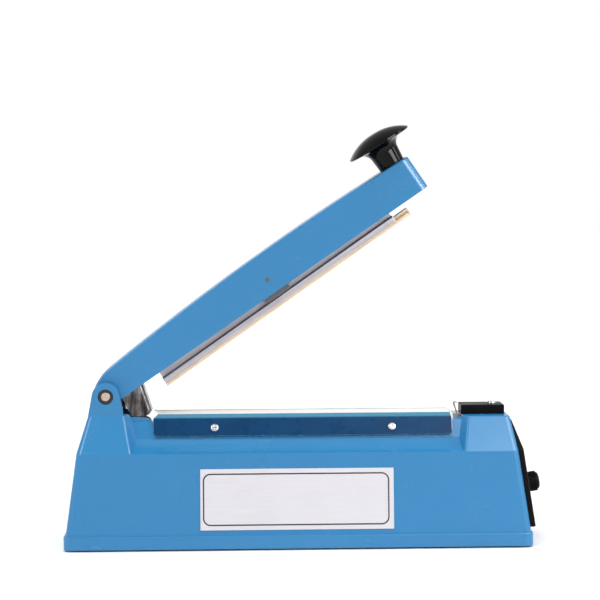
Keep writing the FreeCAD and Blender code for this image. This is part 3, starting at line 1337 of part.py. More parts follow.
# Transformer on its feet, bolted to the base plate
def make_transformer():
    floor = "boss_bottom"
    low_x, high_x = "core_x - core_length / 2", "core_x + core_length / 2"
    limb = "((core_length - core_window) / 4)"
    core = box("core_block", (low_x, high_x), ("-core_depth / 2", "core_depth / 2"),
               (floor + " + frame_sheet", floor + " + frame_sheet + core_height"))
    windows = []
    for name, start in (("left", "%s + %s" % (low_x, limb)), ("right", "core_x + %s" % limb)):
        windows.append(box("core_window_" + name, (start, start + " + core_window / 2"),
                           ("-core_depth", "core_depth"),
                           ("%s + frame_sheet + %s" % (floor, limb),
                            "%s + frame_sheet + core_height - %s" % (floor, limb))))
    core = carve("core_laminations", core, join("core_windows", windows))
    in_housing(keep(core, "transformer_core"))

    winding = box("winding_block", ("core_x - %s - core_window / 2 + 0.3" % limb,
                                    "core_x + %s + core_window / 2 - 0.3" % limb),
                  ("-coil_depth / 2", "coil_depth / 2"),
                  ("%s + frame_sheet + 0.3 + %s" % (floor, limb),
                   "%s + frame_sheet - 0.3 + core_height - %s" % (floor, limb)))
    middle_limb = box("winding_hole", ("core_x - %s - 0.1" % limb, "core_x + %s + 0.1" % limb),
                      ("-core_depth / 2 - 0.1", "core_depth / 2 + 0.1"), (floor, floor + " + core_height + 3"))
    winding = carve("winding_hollow", winding, middle_limb)
    winding = soften("winding_rounded", winding, "3", lambda edge: (
        abs(heading(edge).z) > 0.9 and abs(middle(edge).y) > size("coil_depth / 2") - 0.1))
    in_housing(keep(winding, "transformer_winding"))

    foot = box("frame_foot", (low_x + " - frame_ear", high_x + " + frame_ear"), ("-8", "8"),
               (floor, floor + " + frame_sheet"))
    screws = []
    for number, x in enumerate((low_x + " - frame_ear / 2", high_x + " + frame_ear / 2"), start=1):
        screws.append(join("transformer_screw_%d" % number, [
            rod("transformer_screw_head_%d" % number, "3.6", "2.4", (x, "0", floor + " + frame_sheet")),
            rod("transformer_screw_shank_%d" % number, "1.9", "frame_sheet", (x, "0", floor))]))
    holes = [rod("frame_hole_%d" % number, "1.95", "3", (x, "0", floor + " - 1"))
             for number, x in enumerate((low_x + " - frame_ear / 2", high_x + " + frame_ear / 2"), start=1)]
    in_housing(keep(carve("frame_drilled", foot, join("frame_holes", holes)), "transformer_foot"))
    in_housing(collect("transformer_screws", screws))


# Stand for the return spring and the microswitch
def make_mechanism():
    floor = "boss_bottom"
    web = box("stand_web", ("stand_x - stand_half_length", "stand_x + stand_half_length"), ("-6", "-4.5"),
              (floor, "stand_top"))
    base = box("stand_base", ("stand_x - stand_half_length", "stand_x + stand_half_length"), ("-12", "4"),
               (floor, floor + " + 1.5"))
    shelf = box("stand_shelf", ("stand_x - stand_half_length", "stand_x + stand_half_length"),
                ("-6", "switch_y - switch_thickness / 2 - 0.1"), ("stand_top - 1.5", "stand_top"))
    cheek = box("stand_cheek", ("stand_x - stand_half_length", "stand_x + 8"),
                ("switch_y - switch_thickness / 2 - 1.6", "switch_y - switch_thickness / 2 - 0.1"),
                ("stand_top - 1.5", "switch_top - 1"))
    peg = rod("spring_peg", "spring_radius - spring_wire - 0.3", "4", ("spring_x", "0", "stand_top"))
    in_housing(keep(join("stand_solid", [web, base, shelf, cheek, peg]), "mechanism_stand"))

    helix = doc.addObject("Part::Helix", "spring_path")
    reach = "(spring_from_pivot * cos(open_angle) - 0.2)"
    top = "(pivot_height + %s * sin(open_angle) - spring_tab_z * cos(open_angle) - 1.4)" % reach
    rise = "(%s - stand_top - 2 * spring_wire)" % top
    bind(helix, Radius="spring_radius", Height=rise, Pitch="%s / spring_turns" % rise)
    wire = doc.addObject("Part::RegularPolygon", "spring_section")
    wire.Polygon = 6
    bind(wire, Circumradius="spring_wire")
    place(wire, "spring_radius", "0", "0", (1, 0, 0), "90")
    coil = doc.addObject("Part::Sweep", "spring_sweep")
    coil.Sections = [wire]
    doc.recompute()
    coil.Spine = (helix, ["Edge%d" % number for number in range(1, len(helix.Shape.Edges) + 1)])
    coil.Solid = True
    coil.Frenet = True
    keep(coil, "return_spring")
    place(coil, "centre_shift + spring_x", "0", "stand_top + spring_wire")

    body = box("switch_body", ("stand_x - 11", "stand_x - 11 + switch_length"),
               ("switch_y - switch_thickness / 2", "switch_y + switch_thickness / 2"),
               ("switch_top - switch_height", "switch_top"))
    lugs = [box("switch_lug_%d" % number, (x, x + " + 0.6"), ("switch_y - 1.6", "switch_y + 1.6"),
                ("switch_top - switch_height - 5", "switch_top - switch_height"))
            for number, x in enumerate(("stand_x - 9", "stand_x - 2", "stand_x + 5"), start=1)]
    hook = [box("switch_pivot_%d" % number, ("stand_x + 6.4", "stand_x + 8.6"), (y, y + " + 0.8"),
                ("switch_top", "switch_top + 2.2"))
            for number, y in enumerate(("switch_y - 2.6", "switch_y + 1.8"), start=1)]
    in_housing(keep(join("switch_solid", [body] + lugs + hook), "microswitch"))

    lever = box("lever_strip", ("stand_x - 6", "stand_x + 8"), ("switch_y - 1.6", "switch_y + 1.6"),
                ("switch_top + 1.2", "switch_top + 1.6"))
    tip = rod("lever_roller", "1.1", "3.2", ("stand_x - 4.5", "switch_y - 1.6", "switch_top + 2.2"), "y")
    in_housing(keep(join("lever_solid", [lever, tip]), "switch_lever"))


def check_and_write():
    doc.recompute()
    for obj in doc.Objects:
        if "Invalid" in obj.State or "Error" in obj.State:
            raise RuntimeError("failed: %s %s" % (obj.Name, obj.State))
    os.makedirs("parts", exist_ok=True)
    for obj in PARTS:
        shape = obj.Shape
        if shape.isNull() or not shape.isValid() or not shape.Solids:
            raise RuntimeError("bad shape: " + obj.Label)
        shape.exportStep("parts/%s.step" % obj.Label)
        bounds = shape.BoundBox
        print("%-22s solids %d  volume %9.1f  x %.1f..%.1f y %.1f..%.1f z %.1f..%.1f" % (
            obj.Label, len(shape.Solids), shape.Volume, bounds.XMin, bounds.XMax, bounds.YMin, bounds.YMax,
            bounds.ZMin, bounds.ZMax))


make_housing()
make_base()
make_hinge()
make_arm()
make_tail_bracket()
make_handle()
make_seal_bar()
make_platform()
make_terminals()
make_timer_end()
make_label()
make_gland()
make_transformer()
make_mechanism()
check_and_write()
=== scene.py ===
import json
import math

import bmesh
import bpy
from mathutils import Matrix, Vector
from mathutils import noise as mathutils_noise


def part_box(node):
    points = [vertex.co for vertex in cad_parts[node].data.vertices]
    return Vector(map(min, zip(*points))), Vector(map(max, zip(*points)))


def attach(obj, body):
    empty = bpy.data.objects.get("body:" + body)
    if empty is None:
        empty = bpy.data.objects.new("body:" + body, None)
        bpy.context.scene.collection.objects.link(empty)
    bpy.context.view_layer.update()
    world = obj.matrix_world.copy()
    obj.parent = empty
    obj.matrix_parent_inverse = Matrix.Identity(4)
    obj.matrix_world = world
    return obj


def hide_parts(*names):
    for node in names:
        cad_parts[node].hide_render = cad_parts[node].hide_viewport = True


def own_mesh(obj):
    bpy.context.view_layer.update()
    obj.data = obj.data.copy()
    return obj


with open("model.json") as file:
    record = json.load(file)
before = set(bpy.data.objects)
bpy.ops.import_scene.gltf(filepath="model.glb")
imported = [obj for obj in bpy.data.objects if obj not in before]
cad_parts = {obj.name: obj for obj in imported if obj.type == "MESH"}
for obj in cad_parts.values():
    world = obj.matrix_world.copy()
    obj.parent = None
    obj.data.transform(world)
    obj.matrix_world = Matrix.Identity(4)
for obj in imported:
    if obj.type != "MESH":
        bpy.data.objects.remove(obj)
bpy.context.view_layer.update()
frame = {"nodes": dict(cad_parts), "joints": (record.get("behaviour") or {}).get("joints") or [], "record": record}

MM = 0.001

# Slope of the open arm at rest, which the die lines of the seal bar follow
OPEN_ANGLE = math.radians(34.5)

# Camera, as fitted to the photograph: lengths in metres, its sensor in millimetres
AIM = Vector((-2.26, 0, 168.04)) * MM
DISTANCE = 1.3
TURN = math.radians(-2)
RISE = math.radians(4)
ROLL = math.radians(-0.217)
FOCAL_PIXELS = 1866.85
IMAGE_PIXELS = 600
SENSOR = 36

# Sky: its strength at the horizon and above, and the heights of the unit sphere between which it dims
HORIZON_LIGHT = 1.0
SKY_LIGHT = 0.42
SKY_FADE = (0.16, 0.45)

# Far lights: the direction they come from, their strength and the angle they cover
FAR_LIGHTS = {
    "key": {"source": (-0.3, -0.5, 1.3), "strength": 1.85, "width": 50},
    "top": {"source": (0.1, 0.1, 1), "strength": 1.1, "width": 60},
}
SOFT_BOXES = {
    "right_box": {"place": (1.3, -0.15, 0.95), "target": (0.1, 0, 0.15), "width": 0.35, "height": 0.9,
                  "watts": 6},
    "corner_box": {"place": (0.87, -0.9, 0.74), "target": (0.08, 0, 0.22), "width": 0.7, "height": 0.8,
                   "watts": 26, "lights_up": False},
    "sheen_box": {"place": (0.31, -0.88, 0.84), "target": (0.13, 0, 0.075), "width": 0.16, "height": 0.3,
                  "watts": 1.2, "lights_up": False},
    "left_box": {"place": (-1.0, -0.75, 0.8), "target": (-0.1, 0, 0.1), "width": 0.3, "height": 0.8,
                 "watts": 10, "lights_up": False},
}
FLOOR_REACH = 6


# Scene: camera, floor and lights
def make_camera():
    back = Vector((math.sin(TURN) * math.cos(RISE), -math.cos(TURN) * math.cos(RISE), math.sin(RISE)))
    level_right = Vector((math.cos(TURN), math.sin(TURN), 0))
    level_up = back.cross(level_right)
    right = level_right * math.cos(ROLL) + level_up * math.sin(ROLL)
    up = level_up * math.cos(ROLL) - level_right * math.sin(ROLL)
    data = bpy.data.cameras.new("camera")
    data.sensor_width = SENSOR
    data.lens = FOCAL_PIXELS / IMAGE_PIXELS * SENSOR
    camera = bpy.data.objects.new("camera", data)
    turned = Matrix((right, up, back)).transposed().to_4x4()
    camera.matrix_world = Matrix.Translation(AIM + back * DISTANCE) @ turned
    bpy.context.scene.collection.objects.link(camera)
    bpy.context.scene.camera = camera


def area_light(name, place, target, width, height, watts, lights_up=True):
    """Soft box; one that doesn't light up what it faces only shows in its gloss."""
    data = bpy.data.lights.new(name, "AREA")
    data.shape = "RECTANGLE"
    data.size = width
    data.size_y = height
    data.energy = watts
    lamp = bpy.data.objects.new(name, data)
    lamp.location = place
    lamp.rotation_mode = "QUATERNION"
    lamp.rotation_quaternion = (Vector(target) - Vector(place)).to_track_quat("-Z", "Y")
    lamp.visible_diffuse = lights_up
    bpy.context.scene.collection.objects.link(lamp)


def far_light(name, source, strength, width):
    """Soft light from a direction, even over the whole floor; width is the angle it covers, in degrees.
    Gloss shows the soft boxes instead of it."""
    data = bpy.data.lights.new(name, "SUN")
    data.energy = strength
    data.angle = math.radians(width)
    lamp = bpy.data.objects.new(name, data)
    lamp.rotation_mode = "QUATERNION"
    lamp.rotation_quaternion = (-Vector(source)).to_track_quat("-Z", "Y")
    lamp.visible_glossy = False
    bpy.context.scene.collection.objects.link(lamp)


def make_studio():
    """White horizon, dimmer sky above it, far lights, soft boxes and a white floor."""
    bpy.context.scene.view_settings.view_transform = "Standard"
    world = bpy.data.worlds.new("studio")
    bpy.context.scene.world = world
    world.use_nodes = True
    nodes, links = world.node_tree.nodes, world.node_tree.links
    place = nodes.new("ShaderNodeTexCoord")
    split = nodes.new("ShaderNodeSeparateXYZ")
    fade = nodes.new("ShaderNodeMapRange")
    for slot, value in (("From Min", SKY_FADE[0]), ("From Max", SKY_FADE[1]),
                        ("To Min", HORIZON_LIGHT), ("To Max", SKY_LIGHT)):
        fade.inputs[slot].default_value = value
    sky = nodes["Background"]
    sky.inputs["Color"].default_value = (1, 1, 1, 1)
    links.new(place.outputs["Generated"], split.inputs["Vector"])
    links.new(split.outputs["Z"], fade.inputs["Value"])
    links.new(fade.outputs["Result"], sky.inputs["Strength"])
    for name, light in FAR_LIGHTS.items():
        far_light(name, **light)
    for name, box in SOFT_BOXES.items():
        area_light(name, **box)

    mesh = bpy.data.meshes.new("floor")
    corners = [(-FLOOR_REACH, -FLOOR_REACH, 0), (FLOOR_REACH, -FLOOR_REACH, 0), (FLOOR_REACH, FLOOR_REACH, 0),
               (-FLOOR_REACH, FLOOR_REACH, 0)]
    mesh.from_pydata(corners, [], [(0, 1, 2, 3)])
    floor = bpy.data.objects.new("floor", mesh)
    bpy.context.scene.collection.objects.link(floor)
    floor.data.materials.append(floor_paint())


# Material building
def linear(red, green, blue):
    """Linear colour from 8-bit display values."""
    def one(value):
        value = value / 255
        return value / 12.92 if value <= 0.04045 else ((value + 0.055) / 1.055) ** 2.4
    return (one(red), one(green), one(blue), 1)


def toned(colour, factor):
    return tuple(min(1, part * factor) for part in colour[:3]) + (1,)


# A point is on a flat, then on an edge, at these cosines of its rounded normal to its own
EDGE_COSINES = (0.995, 0.8)
EDGE_SAMPLES = 10


class Paint:
    """A material with one Principled shader, and short calls for what feeds it."""

    def __init__(self, name, roughness, metallic=0.0):
        self.material = bpy.data.materials.new(name)
        self.material.use_nodes = True
        self.nodes = self.material.node_tree.nodes
        self.links = self.material.node_tree.links
        self.shader = self.nodes["Principled BSDF"]
        self.shader.inputs["Metallic"].default_value = metallic
        self.shader.inputs["Roughness"].default_value = roughness
        self.place = self.nodes.new("ShaderNodeTexCoord").outputs["Object"]

    def set(self, **values):
        for name, value in values.items():
            self.shader.inputs[name.replace("_", " ")].default_value = value
        return self

    def stretched(self, scale):
        """Coordinates scaled apart on each axis, for grain with a direction."""
        node = self.nodes.new("ShaderNodeMapping")
        node.inputs["Scale"].default_value = scale
        self.links.new(self.place, node.inputs["Vector"])
        return node.outputs["Vector"]

    def noise(self, scale, detail=3, place=None):
        node = self.nodes.new("ShaderNodeTexNoise")
        node.inputs["Scale"].default_value = scale
        node.inputs["Detail"].default_value = detail
        self.links.new(place or self.place, node.inputs["Vector"])
        return node.outputs["Fac"]

    def spread(self, source, low, high, new_low=0, new_high=1):
        """Map a range of a source to another range, held at its ends."""
        node = self.nodes.new("ShaderNodeMapRange")
        node.inputs["From Min"].default_value = low
        node.inputs["From Max"].default_value = high
        node.inputs["To Min"].default_value = new_low
        node.inputs["To Max"].default_value = new_high
        self.links.new(source, node.inputs["Value"])
        return node.outputs["Result"]

    def tone(self, scale, detail=3, new_low=0, new_high=1):
        """Noise whose middle values fill a range."""
        return self.spread(self.noise(scale, detail), 0.3, 0.7, new_low, new_high)

    def times(self, first, second):
        node = self.nodes.new("ShaderNodeMath")
        node.operation = "MULTIPLY"
        for slot, source in zip(node.inputs, (first, second)):
            self.links.new(source, slot)
        return node.outputs["Value"]

    def mix(self, amount, first, second):
        """Blend two colours, or a socket and a colour, by an amount."""
        node = self.nodes.new("ShaderNodeMix")
        node.data_type = "RGBA"
        self.links.new(amount, node.inputs["Factor"])
        for name, value in (("A", first), ("B", second)):
            slot = [s for s in node.inputs if s.name == name and s.type == "RGBA"][0]
            if isinstance(value, tuple):
                slot.default_value = value
            else:
                self.links.new(value, slot)
        return [s for s in node.outputs if s.type == "RGBA"][0]

    def edge(self, radius):
        """Rounded normal near sharp edges, and how near an edge a point is."""
        bevel = self.nodes.new("ShaderNodeBevel")
        bevel.samples = EDGE_SAMPLES
        bevel.inputs["Radius"].default_value = radius
        flat = self.nodes.new("ShaderNodeNewGeometry")
        dot = self.nodes.new("ShaderNodeVectorMath")
        dot.operation = "DOT_PRODUCT"
        self.links.new(bevel.outputs["Normal"], dot.inputs[0])
        self.links.new(flat.outputs["Normal"], dot.inputs[1])
        near = self.spread(dot.outputs["Value"], *EDGE_COSINES)
        return bevel.outputs["Normal"], near

    def colour(self, source):
        self.links.new(source, self.shader.inputs["Base Color"])
        return self

    def rough(self, source):
        self.links.new(source, self.shader.inputs["Roughness"])
        return self

    def bump(self, height, strength, depth, normal=None):
        node = self.nodes.new("ShaderNodeBump")
        node.inputs["Strength"].default_value = strength
        node.inputs["Distance"].default_value = depth
        self.links.new(height, node.inputs["Height"])
        if normal:
            self.links.new(normal, node.inputs["Normal"])
        self.links.new(node.outputs["Normal"], self.shader.inputs["Normal"])
        return self


def floor_paint():
    paint = Paint("floor_paint", 0.6)
    tone = paint.tone(1.5)
    paint.colour(paint.mix(tone, (0.90, 0.90, 0.905, 1), (0.92, 0.92, 0.92, 1)))
    return paint.material


def moulded_plastic(name, colour, roughness, edge_radius=0.8 * MM, edge_light=1.35, grain=0.04,
                    shine=0.5, soft_edges=True):
    """Injection-moulded plastic: faint flow tone, fine grain, handling scuffs and paler edges, part rubbed wear,
    part painted highlight.
    """
    paint = Paint(name, roughness)
    paint.set(IOR=1.5, Specular_IOR_Level=shine)
    normal, near = paint.edge(edge_radius)
    flow = paint.tone(9, 2)
    base = paint.mix(flow, toned(colour, 0.97), toned(colour, 1.03))
    scuff = paint.spread(paint.noise(1, 6, paint.stretched((220, 60, 700))), 0.66, 0.78, 0, 0.12)
    base = paint.mix(scuff, base, toned(colour, 1.2))
    # Edges paler: a painted highlight, made patchy like rubbed wear.
    edge_highlight_and_rub = paint.times(near, paint.spread(paint.noise(160, 4), 0.35, 0.6, 0.25, 0.8))
    paint.colour(paint.mix(edge_highlight_and_rub, base, toned(colour, edge_light)))
    paint.rough(paint.spread(paint.noise(55, 1), 0.25, 0.75, roughness * 0.9, roughness * 1.15))
    paint.bump(paint.noise(2600, 2), grain, 0.05 * MM, normal if soft_edges else None)
    return paint.material


def plated_steel(name, colour, roughness, along=(40, 900, 900)):
    """Zinc or nickel plate with a faint rolled direction, dull patches and a painted highlight on its edges."""
    paint = Paint(name, roughness, metallic=1.0)
    normal, near = paint.edge(0.25 * MM)
    streak = paint.spread(paint.noise(1, 4, paint.stretched(along)), 0.3, 0.7)
    base = paint.mix(streak, toned(colour, 0.82), toned(colour, 1.08))
    patch = paint.spread(paint.noise(120, 3), 0.5, 0.7, 0, 0.35)
    base = paint.mix(patch, base, toned(colour, 0.72))
    # Painted highlight along the edges.
    paint.colour(paint.mix(near, base, toned(colour, 1.3)))
    paint.rough(paint.spread(streak, 0, 1, roughness * 0.75, roughness * 1.3))
    paint.bump(streak, 0.06, 0.02 * MM, normal)
    return paint.material


def dark_chrome(name):
    """Bright drawn steel with a painted reflection of a dark room in its colour as long soft streaks, oil stains
    and a painted highlight on its bends.
    """
    paint = Paint(name, 0.2, metallic=1.0)
    normal, near = paint.edge(0.5 * MM)
    streak = paint.spread(paint.noise(1, 3, paint.stretched((420, 60, 45))), 0.35, 0.65)
    # Dark and light streaks along the drawn grain: painted reflection of a dark room.
    base = paint.mix(streak, linear(40, 39, 41), linear(128, 126, 126))
    stain = paint.spread(paint.noise(170, 4), 0.45, 0.62, 0, 0.6)
    base = paint.mix(stain, base, linear(58, 50, 46))
    # Painted highlight along the bends and edges.
    paint.colour(paint.mix(near, base, linear(205, 205, 205)))
    paint.rough(paint.spread(streak, 0, 1, 0.32, 0.16))
    paint.bump(streak, 0.15, 0.05 * MM, normal)
    return paint.material


def painted_sheet(name, colour, highlight_colour, fold_top):
    """Dark glossy paint on sheet metal, with a painted highlight along its upper fold and edges, and small chips.
    """
    paint = Paint(name, 0.28)
    paint.set(Specular_IOR_Level=0.12)
    normal, near = paint.edge(0.7 * MM)
    tone = paint.tone(26, 3)
    base = paint.mix(tone, toned(colour, 0.85), toned(colour, 1.15))
    chip = paint.times(near, paint.spread(paint.noise(420, 4), 0.52, 0.6))
    # Painted highlight on the band just below the plate's top, where it folds over.
    height = paint.nodes.new("ShaderNodeSeparateXYZ")
    paint.links.new(paint.place, height.inputs["Vector"])
    fold_highlight = paint.spread(height.outputs["Z"], fold_top - 2.9 * MM, fold_top - 1.9 * MM, 0, 0.7)
    base = paint.mix(fold_highlight, base, highlight_colour)
    # Painted highlight along the edges.
    base = paint.mix(near, base, highlight_colour)
    paint.colour(paint.mix(chip, base, linear(150, 160, 165)))
    paint.rough(paint.tone(90, 4, 0.22, 0.36))
    paint.bump(paint.noise(500, 3), 0.05, 0.05 * MM, normal)
    return paint.material


def extruded_aluminium(name):
    """Unpolished extrusion with die lines along its length."""
    colour = linear(176, 172, 178)
    paint = Paint(name, 0.38, metallic=0.85)
    normal, near = paint.edge(0.3 * MM)
    turn = paint.nodes.new("ShaderNodeMapping")
    turn.vector_type = "TEXTURE"
    turn.inputs["Rotation"].default_value = (0, -OPEN_ANGLE, 0)
    paint.links.new(paint.place, turn.inputs["Vector"])
    stretch = paint.nodes.new("ShaderNodeMapping")
    stretch.inputs["Scale"].default_value = (12, 1500, 1500)
    paint.links.new(turn.outputs["Vector"], stretch.inputs["Vector"])
    lines = paint.spread(paint.noise(1, 3, stretch.outputs["Vector"]), 0.3, 0.7)
    base = paint.mix(lines, toned(colour, 0.8), toned(colour, 1.1))
    oxide = paint.spread(paint.noise(70, 4), 0.52, 0.7, 0, 0.4)
    base = paint.mix(oxide, base, linear(150, 146, 150))
    # Painted highlight along the edges.
    paint.colour(paint.mix(near, base, linear(210, 208, 212)))
    paint.rough(paint.spread(lines, 0, 1, 0.3, 0.48))
    paint.bump(lines, 0.12, 0.03 * MM, normal)
    return paint.material


def silicone_rubber(name, colour, dust=1.12):
    """Soft moulded silicone: waxy, with dust and press marks."""
    paint = Paint(name, 0.55)
    paint.set(Sheen_Weight=0.1, Specular_IOR_Level=0.35)
    normal, near = paint.edge(0.4 * MM)
    tone = paint.tone(60, 4)
    base = paint.mix(tone, toned(colour, 0.9), toned(colour, dust))
    # Painted highlight along the edges.
    paint.colour(paint.mix(near, base, toned(colour, 1.2)))
    paint.rough(paint.tone(400, 3, 0.48, 0.68))
    paint.bump(paint.noise(900, 3), 0.12, 0.08 * MM, normal)
    return paint.material


def coated_cloth(name, colour):
    """Glass cloth with a slick coating: a fine weave under a soft sheen."""
    paint = Paint(name, 0.34)
    paint.set(Sheen_Weight=0.15, Coat_Weight=0.3, Coat_Roughness=0.3)
    threads = []
    for direction in ("X", "Y"):
        wave = paint.nodes.new("ShaderNodeTexWave")
        wave.bands_direction = direction
        wave.inputs["Scale"].default_value = 260
        wave.inputs["Distortion"].default_value = 0.6
        paint.links.new(paint.place, wave.inputs["Vector"])
        threads.append(wave.outputs["Fac"])
    weave = paint.times(threads[0], threads[1])
    tone = paint.tone(40, 4)
    base = paint.mix(tone, toned(colour, 0.93), toned(colour, 1.05))
    paint.colour(paint.mix(paint.spread(weave, 0, 1, 0, 0.25), base, toned(colour, 0.85)))
    paint.rough(paint.tone(300, 3, 0.28, 0.42))
    paint.bump(weave, 0.2, 0.05 * MM)
    return paint.material


def laminated_board(name, colour):
    """Glass-fibre board or laminate, with layers showing as fine bands."""
    paint = Paint(name, 0.5)
    layers = paint.spread(paint.noise(1, 2, paint.stretched((8, 8, 3500))), 0.35, 0.65)
    base = paint.mix(layers, toned(colour, 0.8), toned(colour, 1.15))
    paint.colour(base)
    paint.rough(paint.tone(200, 3, 0.42, 0.6))
    paint.bump(layers, 0.1, 0.04 * MM)
    return paint.material


def bare_label(name):
    """Satin silver plate: brushed along its length, a little soiled, with nothing printed on it."""
    colour = linear(205, 203, 208)
    paint = Paint(name, 0.45, metallic=0.15)
    normal, near = paint.edge(0.2 * MM)
    grain = paint.spread(paint.noise(1, 4, paint.stretched((60, 2500, 2500))), 0.3, 0.7)
    base = paint.mix(grain, toned(colour, 0.95), toned(colour, 1.03))
    soil = paint.spread(paint.noise(45, 4), 0.55, 0.75, 0, 0.2)
    base = paint.mix(soil, base, toned(colour, 0.85))
    # Painted highlight along the edges.
    paint.colour(paint.mix(near, base, linear(225, 224, 226)))
    paint.rough(paint.spread(grain, 0, 1, 0.38, 0.52))
    paint.bump(grain, 0.05, 0.02 * MM, normal)
    return paint.material


def lamp_glass(name, colour):
    """Tinted lens with a faint moulded ribbing."""
    paint = Paint(name, 0.12)
    paint.set(Transmission_Weight=0.35, IOR=1.49, Coat_Weight=0.5)
    tone = paint.tone(500, 2)
    paint.colour(paint.mix(tone, toned(colour, 0.8), toned(colour, 1.3)))
    paint.rough(paint.tone(800, 2, 0.08, 0.2))
    paint.bump(paint.noise(1200, 2), 0.1, 0.05 * MM)
    return paint.material


def wound_tape(name, colour):
    """Varnished tape round the winding, with its laps."""
    paint = Paint(name, 0.4)
    wave = paint.nodes.new("ShaderNodeTexWave")
    wave.bands_direction = "Z"
    wave.inputs["Scale"].default_value = 35
    wave.inputs["Distortion"].default_value = 1.5
    paint.links.new(paint.place, wave.inputs["Vector"])
    base = paint.mix(wave.outputs["Fac"], toned(colour, 0.75), toned(colour, 1.1))
    paint.colour(base)
    paint.rough(paint.tone(200, 3, 0.3, 0.5))
    paint.bump(wave.outputs["Fac"], 0.3, 0.2 * MM)
    return paint.material


BLUE = linear(41, 122, 174)
BLACK = linear(11, 11, 14)

PAINTS = {
    "blue_plastic": moulded_plastic("blue_plastic", BLUE, 0.25, 0.45 * MM, 1.3, grain=0.02, shine=0.45,
                                    soft_edges=False),
    "black_plastic": moulded_plastic("black_plastic", BLACK, 0.34, 0.5 * MM, 2.0, grain=0.12, shine=0.06),
    "gloss_black": moulded_plastic("gloss_black", linear(5, 5, 6), 0.09, 0.3 * MM, 1.4, grain=0.01,
                                   shine=0.14, soft_edges=False),
    "black_steel": moulded_plastic("black_steel", linear(20, 20, 22), 0.5, 0.2 * MM, 2.5),
    "black_rubber": silicone_rubber("black_rubber", linear(30, 30, 32), dust=1.8),
    # The plates' second colour is their painted highlight on the fold and edges.
    "dark_blue_metal": painted_sheet("dark_blue_metal", linear(8, 57, 96), linear(84, 150, 178),
                                     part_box("front_clamp_plate")[1][2]),
    "bright_steel": plated_steel("bright_steel", linear(205, 205, 208), 0.28),
    "zinc_plate": plated_steel("zinc_plate", linear(158, 160, 162), 0.33, (500, 900, 40)),
    "spring_steel": plated_steel("spring_steel", linear(140, 140, 142), 0.3),
    "core_steel": plated_steel("core_steel", linear(95, 95, 98), 0.5, (900, 3000, 900)),
    "winding_tape": wound_tape("winding_tape", linear(196, 160, 62)),
    "bar_aluminium": extruded_aluminium("bar_aluminium"),
    "tan_silicone": silicone_rubber("tan_silicone", linear(232, 208, 176)),
    "insulating_strip": laminated_board("insulating_strip", linear(222, 214, 198)),
    "heater_band": plated_steel("heater_band", linear(180, 176, 170), 0.35),
    "coated_fabric": coated_cloth("coated_fabric", linear(238, 235, 230)),
    "white_ceramic": coated_cloth("white_ceramic", linear(240, 240, 238)),
    "lamp_lens": lamp_glass("lamp_lens", linear(190, 40, 30)),
    "circuit_board": laminated_board("circuit_board", linear(40, 110, 62)),
    "bare_label": bare_label("bare_label"),
    "dark_chrome": dark_chrome("dark_chrome"),
    "dull_nickel": plated_steel("dull_nickel", linear(190, 172, 160), 0.4),
    "dark_ink": moulded_plastic("dark_ink", linear(52, 46, 52), 0.5, 0.02 * MM, 1.0, shine=0.3),
    "white_ink": moulded_plastic("white_ink", linear(225, 225, 225), 0.5, 0.02 * MM, 1.0, shine=0.3),
}
# Rocker block and rocker pin take the dark core steel as painted shade: the block as in the shade under the arm,
# the pin end as a dark recess.
NODE_PAINTS = {"handle_knob": "gloss_black", "tail_bracket": "dark_chrome", "hinge_pin": "dull_nickel",
               "terminal_tab": "dark_chrome", "rocker_pin": "core_steel", "bracket_rivet": "blue_plastic",
               "rocker_block": "core_steel"}


def dress_frame():
    """Give every CAD node the paint of its material slot."""
    for part in frame["record"]["subparts"]:
        name = part["node"]
        paint = PAINTS[NODE_PAINTS.get(name, part["material_slot"])]
        node = frame["nodes"][name]
        node.data.materials.clear()
        node.data.materials.append(paint)


# Mesh pieces
def make_piece(name, mesh, paint, body):
    piece = bpy.data.objects.new(name, mesh)
    bpy.context.scene.collection.objects.link(piece)
    mesh.materials.append(paint)
    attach(piece, body)
    return piece


def surface(name, rows, closed=False):
    """Smooth quads between rows of points; closed joins each row's last point to its first."""
    mesh = bpy.data.meshes.new(name)
    across = len(rows[0])
    faces = []
    for row in range(len(rows) - 1):
        for spot in range(across if closed else across - 1):
            after = (spot + 1) % across
            faces.append((row * across + spot, row * across + after, (row + 1) * across + after,
                          (row + 1) * across + spot))
    mesh.from_pydata([point for row in rows for point in row], [], faces)
    mesh.polygons.foreach_set("use_smooth", [True] * len(mesh.polygons))
    return mesh


def add_thickness(piece, thickness):
    shell = piece.modifiers.new("thickness", "SOLIDIFY")
    shell.thickness = thickness
    shell.offset = 0


def ripple(x, y, z):
    """Smooth noise from -1 to 1; z picks the pattern."""
    return mathutils_noise.noise(Vector((x, y, z)))


def make_spring():
    node = frame["nodes"]["return_spring"]
    mesh = node.data.copy()
    mesh.materials.clear()
    mesh.transform(node.matrix_world)
    spring = make_piece("coil_spring", mesh, PAINTS["spring_steel"], "base")
    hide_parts("return_spring")
    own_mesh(spring)


# Label border: an inked line with round corners, on a wall that leans back by its run over its rise
WALL_RUN = 6.6
WALL_RISE = 55.2
FRONT_LEAN = math.atan(WALL_RUN / WALL_RISE)
LABEL_UP = Vector((0, math.sin(FRONT_LEAN), math.cos(FRONT_LEAN)))
LABEL_OUT = Vector((0, -math.cos(FRONT_LEAN), math.sin(FRONT_LEAN)))
LABEL_SIZE = (132.0, 41.5)
LABEL_MARGIN = {"left": 1.7, "right": 3.0, "top": 3.0, "bottom": 2.9}
BORDER_WIDTH = 0.95
BORDER_CORNER = 5.2
BORDER_SINK = -0.02
BORDER_RISE = 0.05
CORNER_STEPS = 10
LABEL_HALF_THICKNESS = 0.25


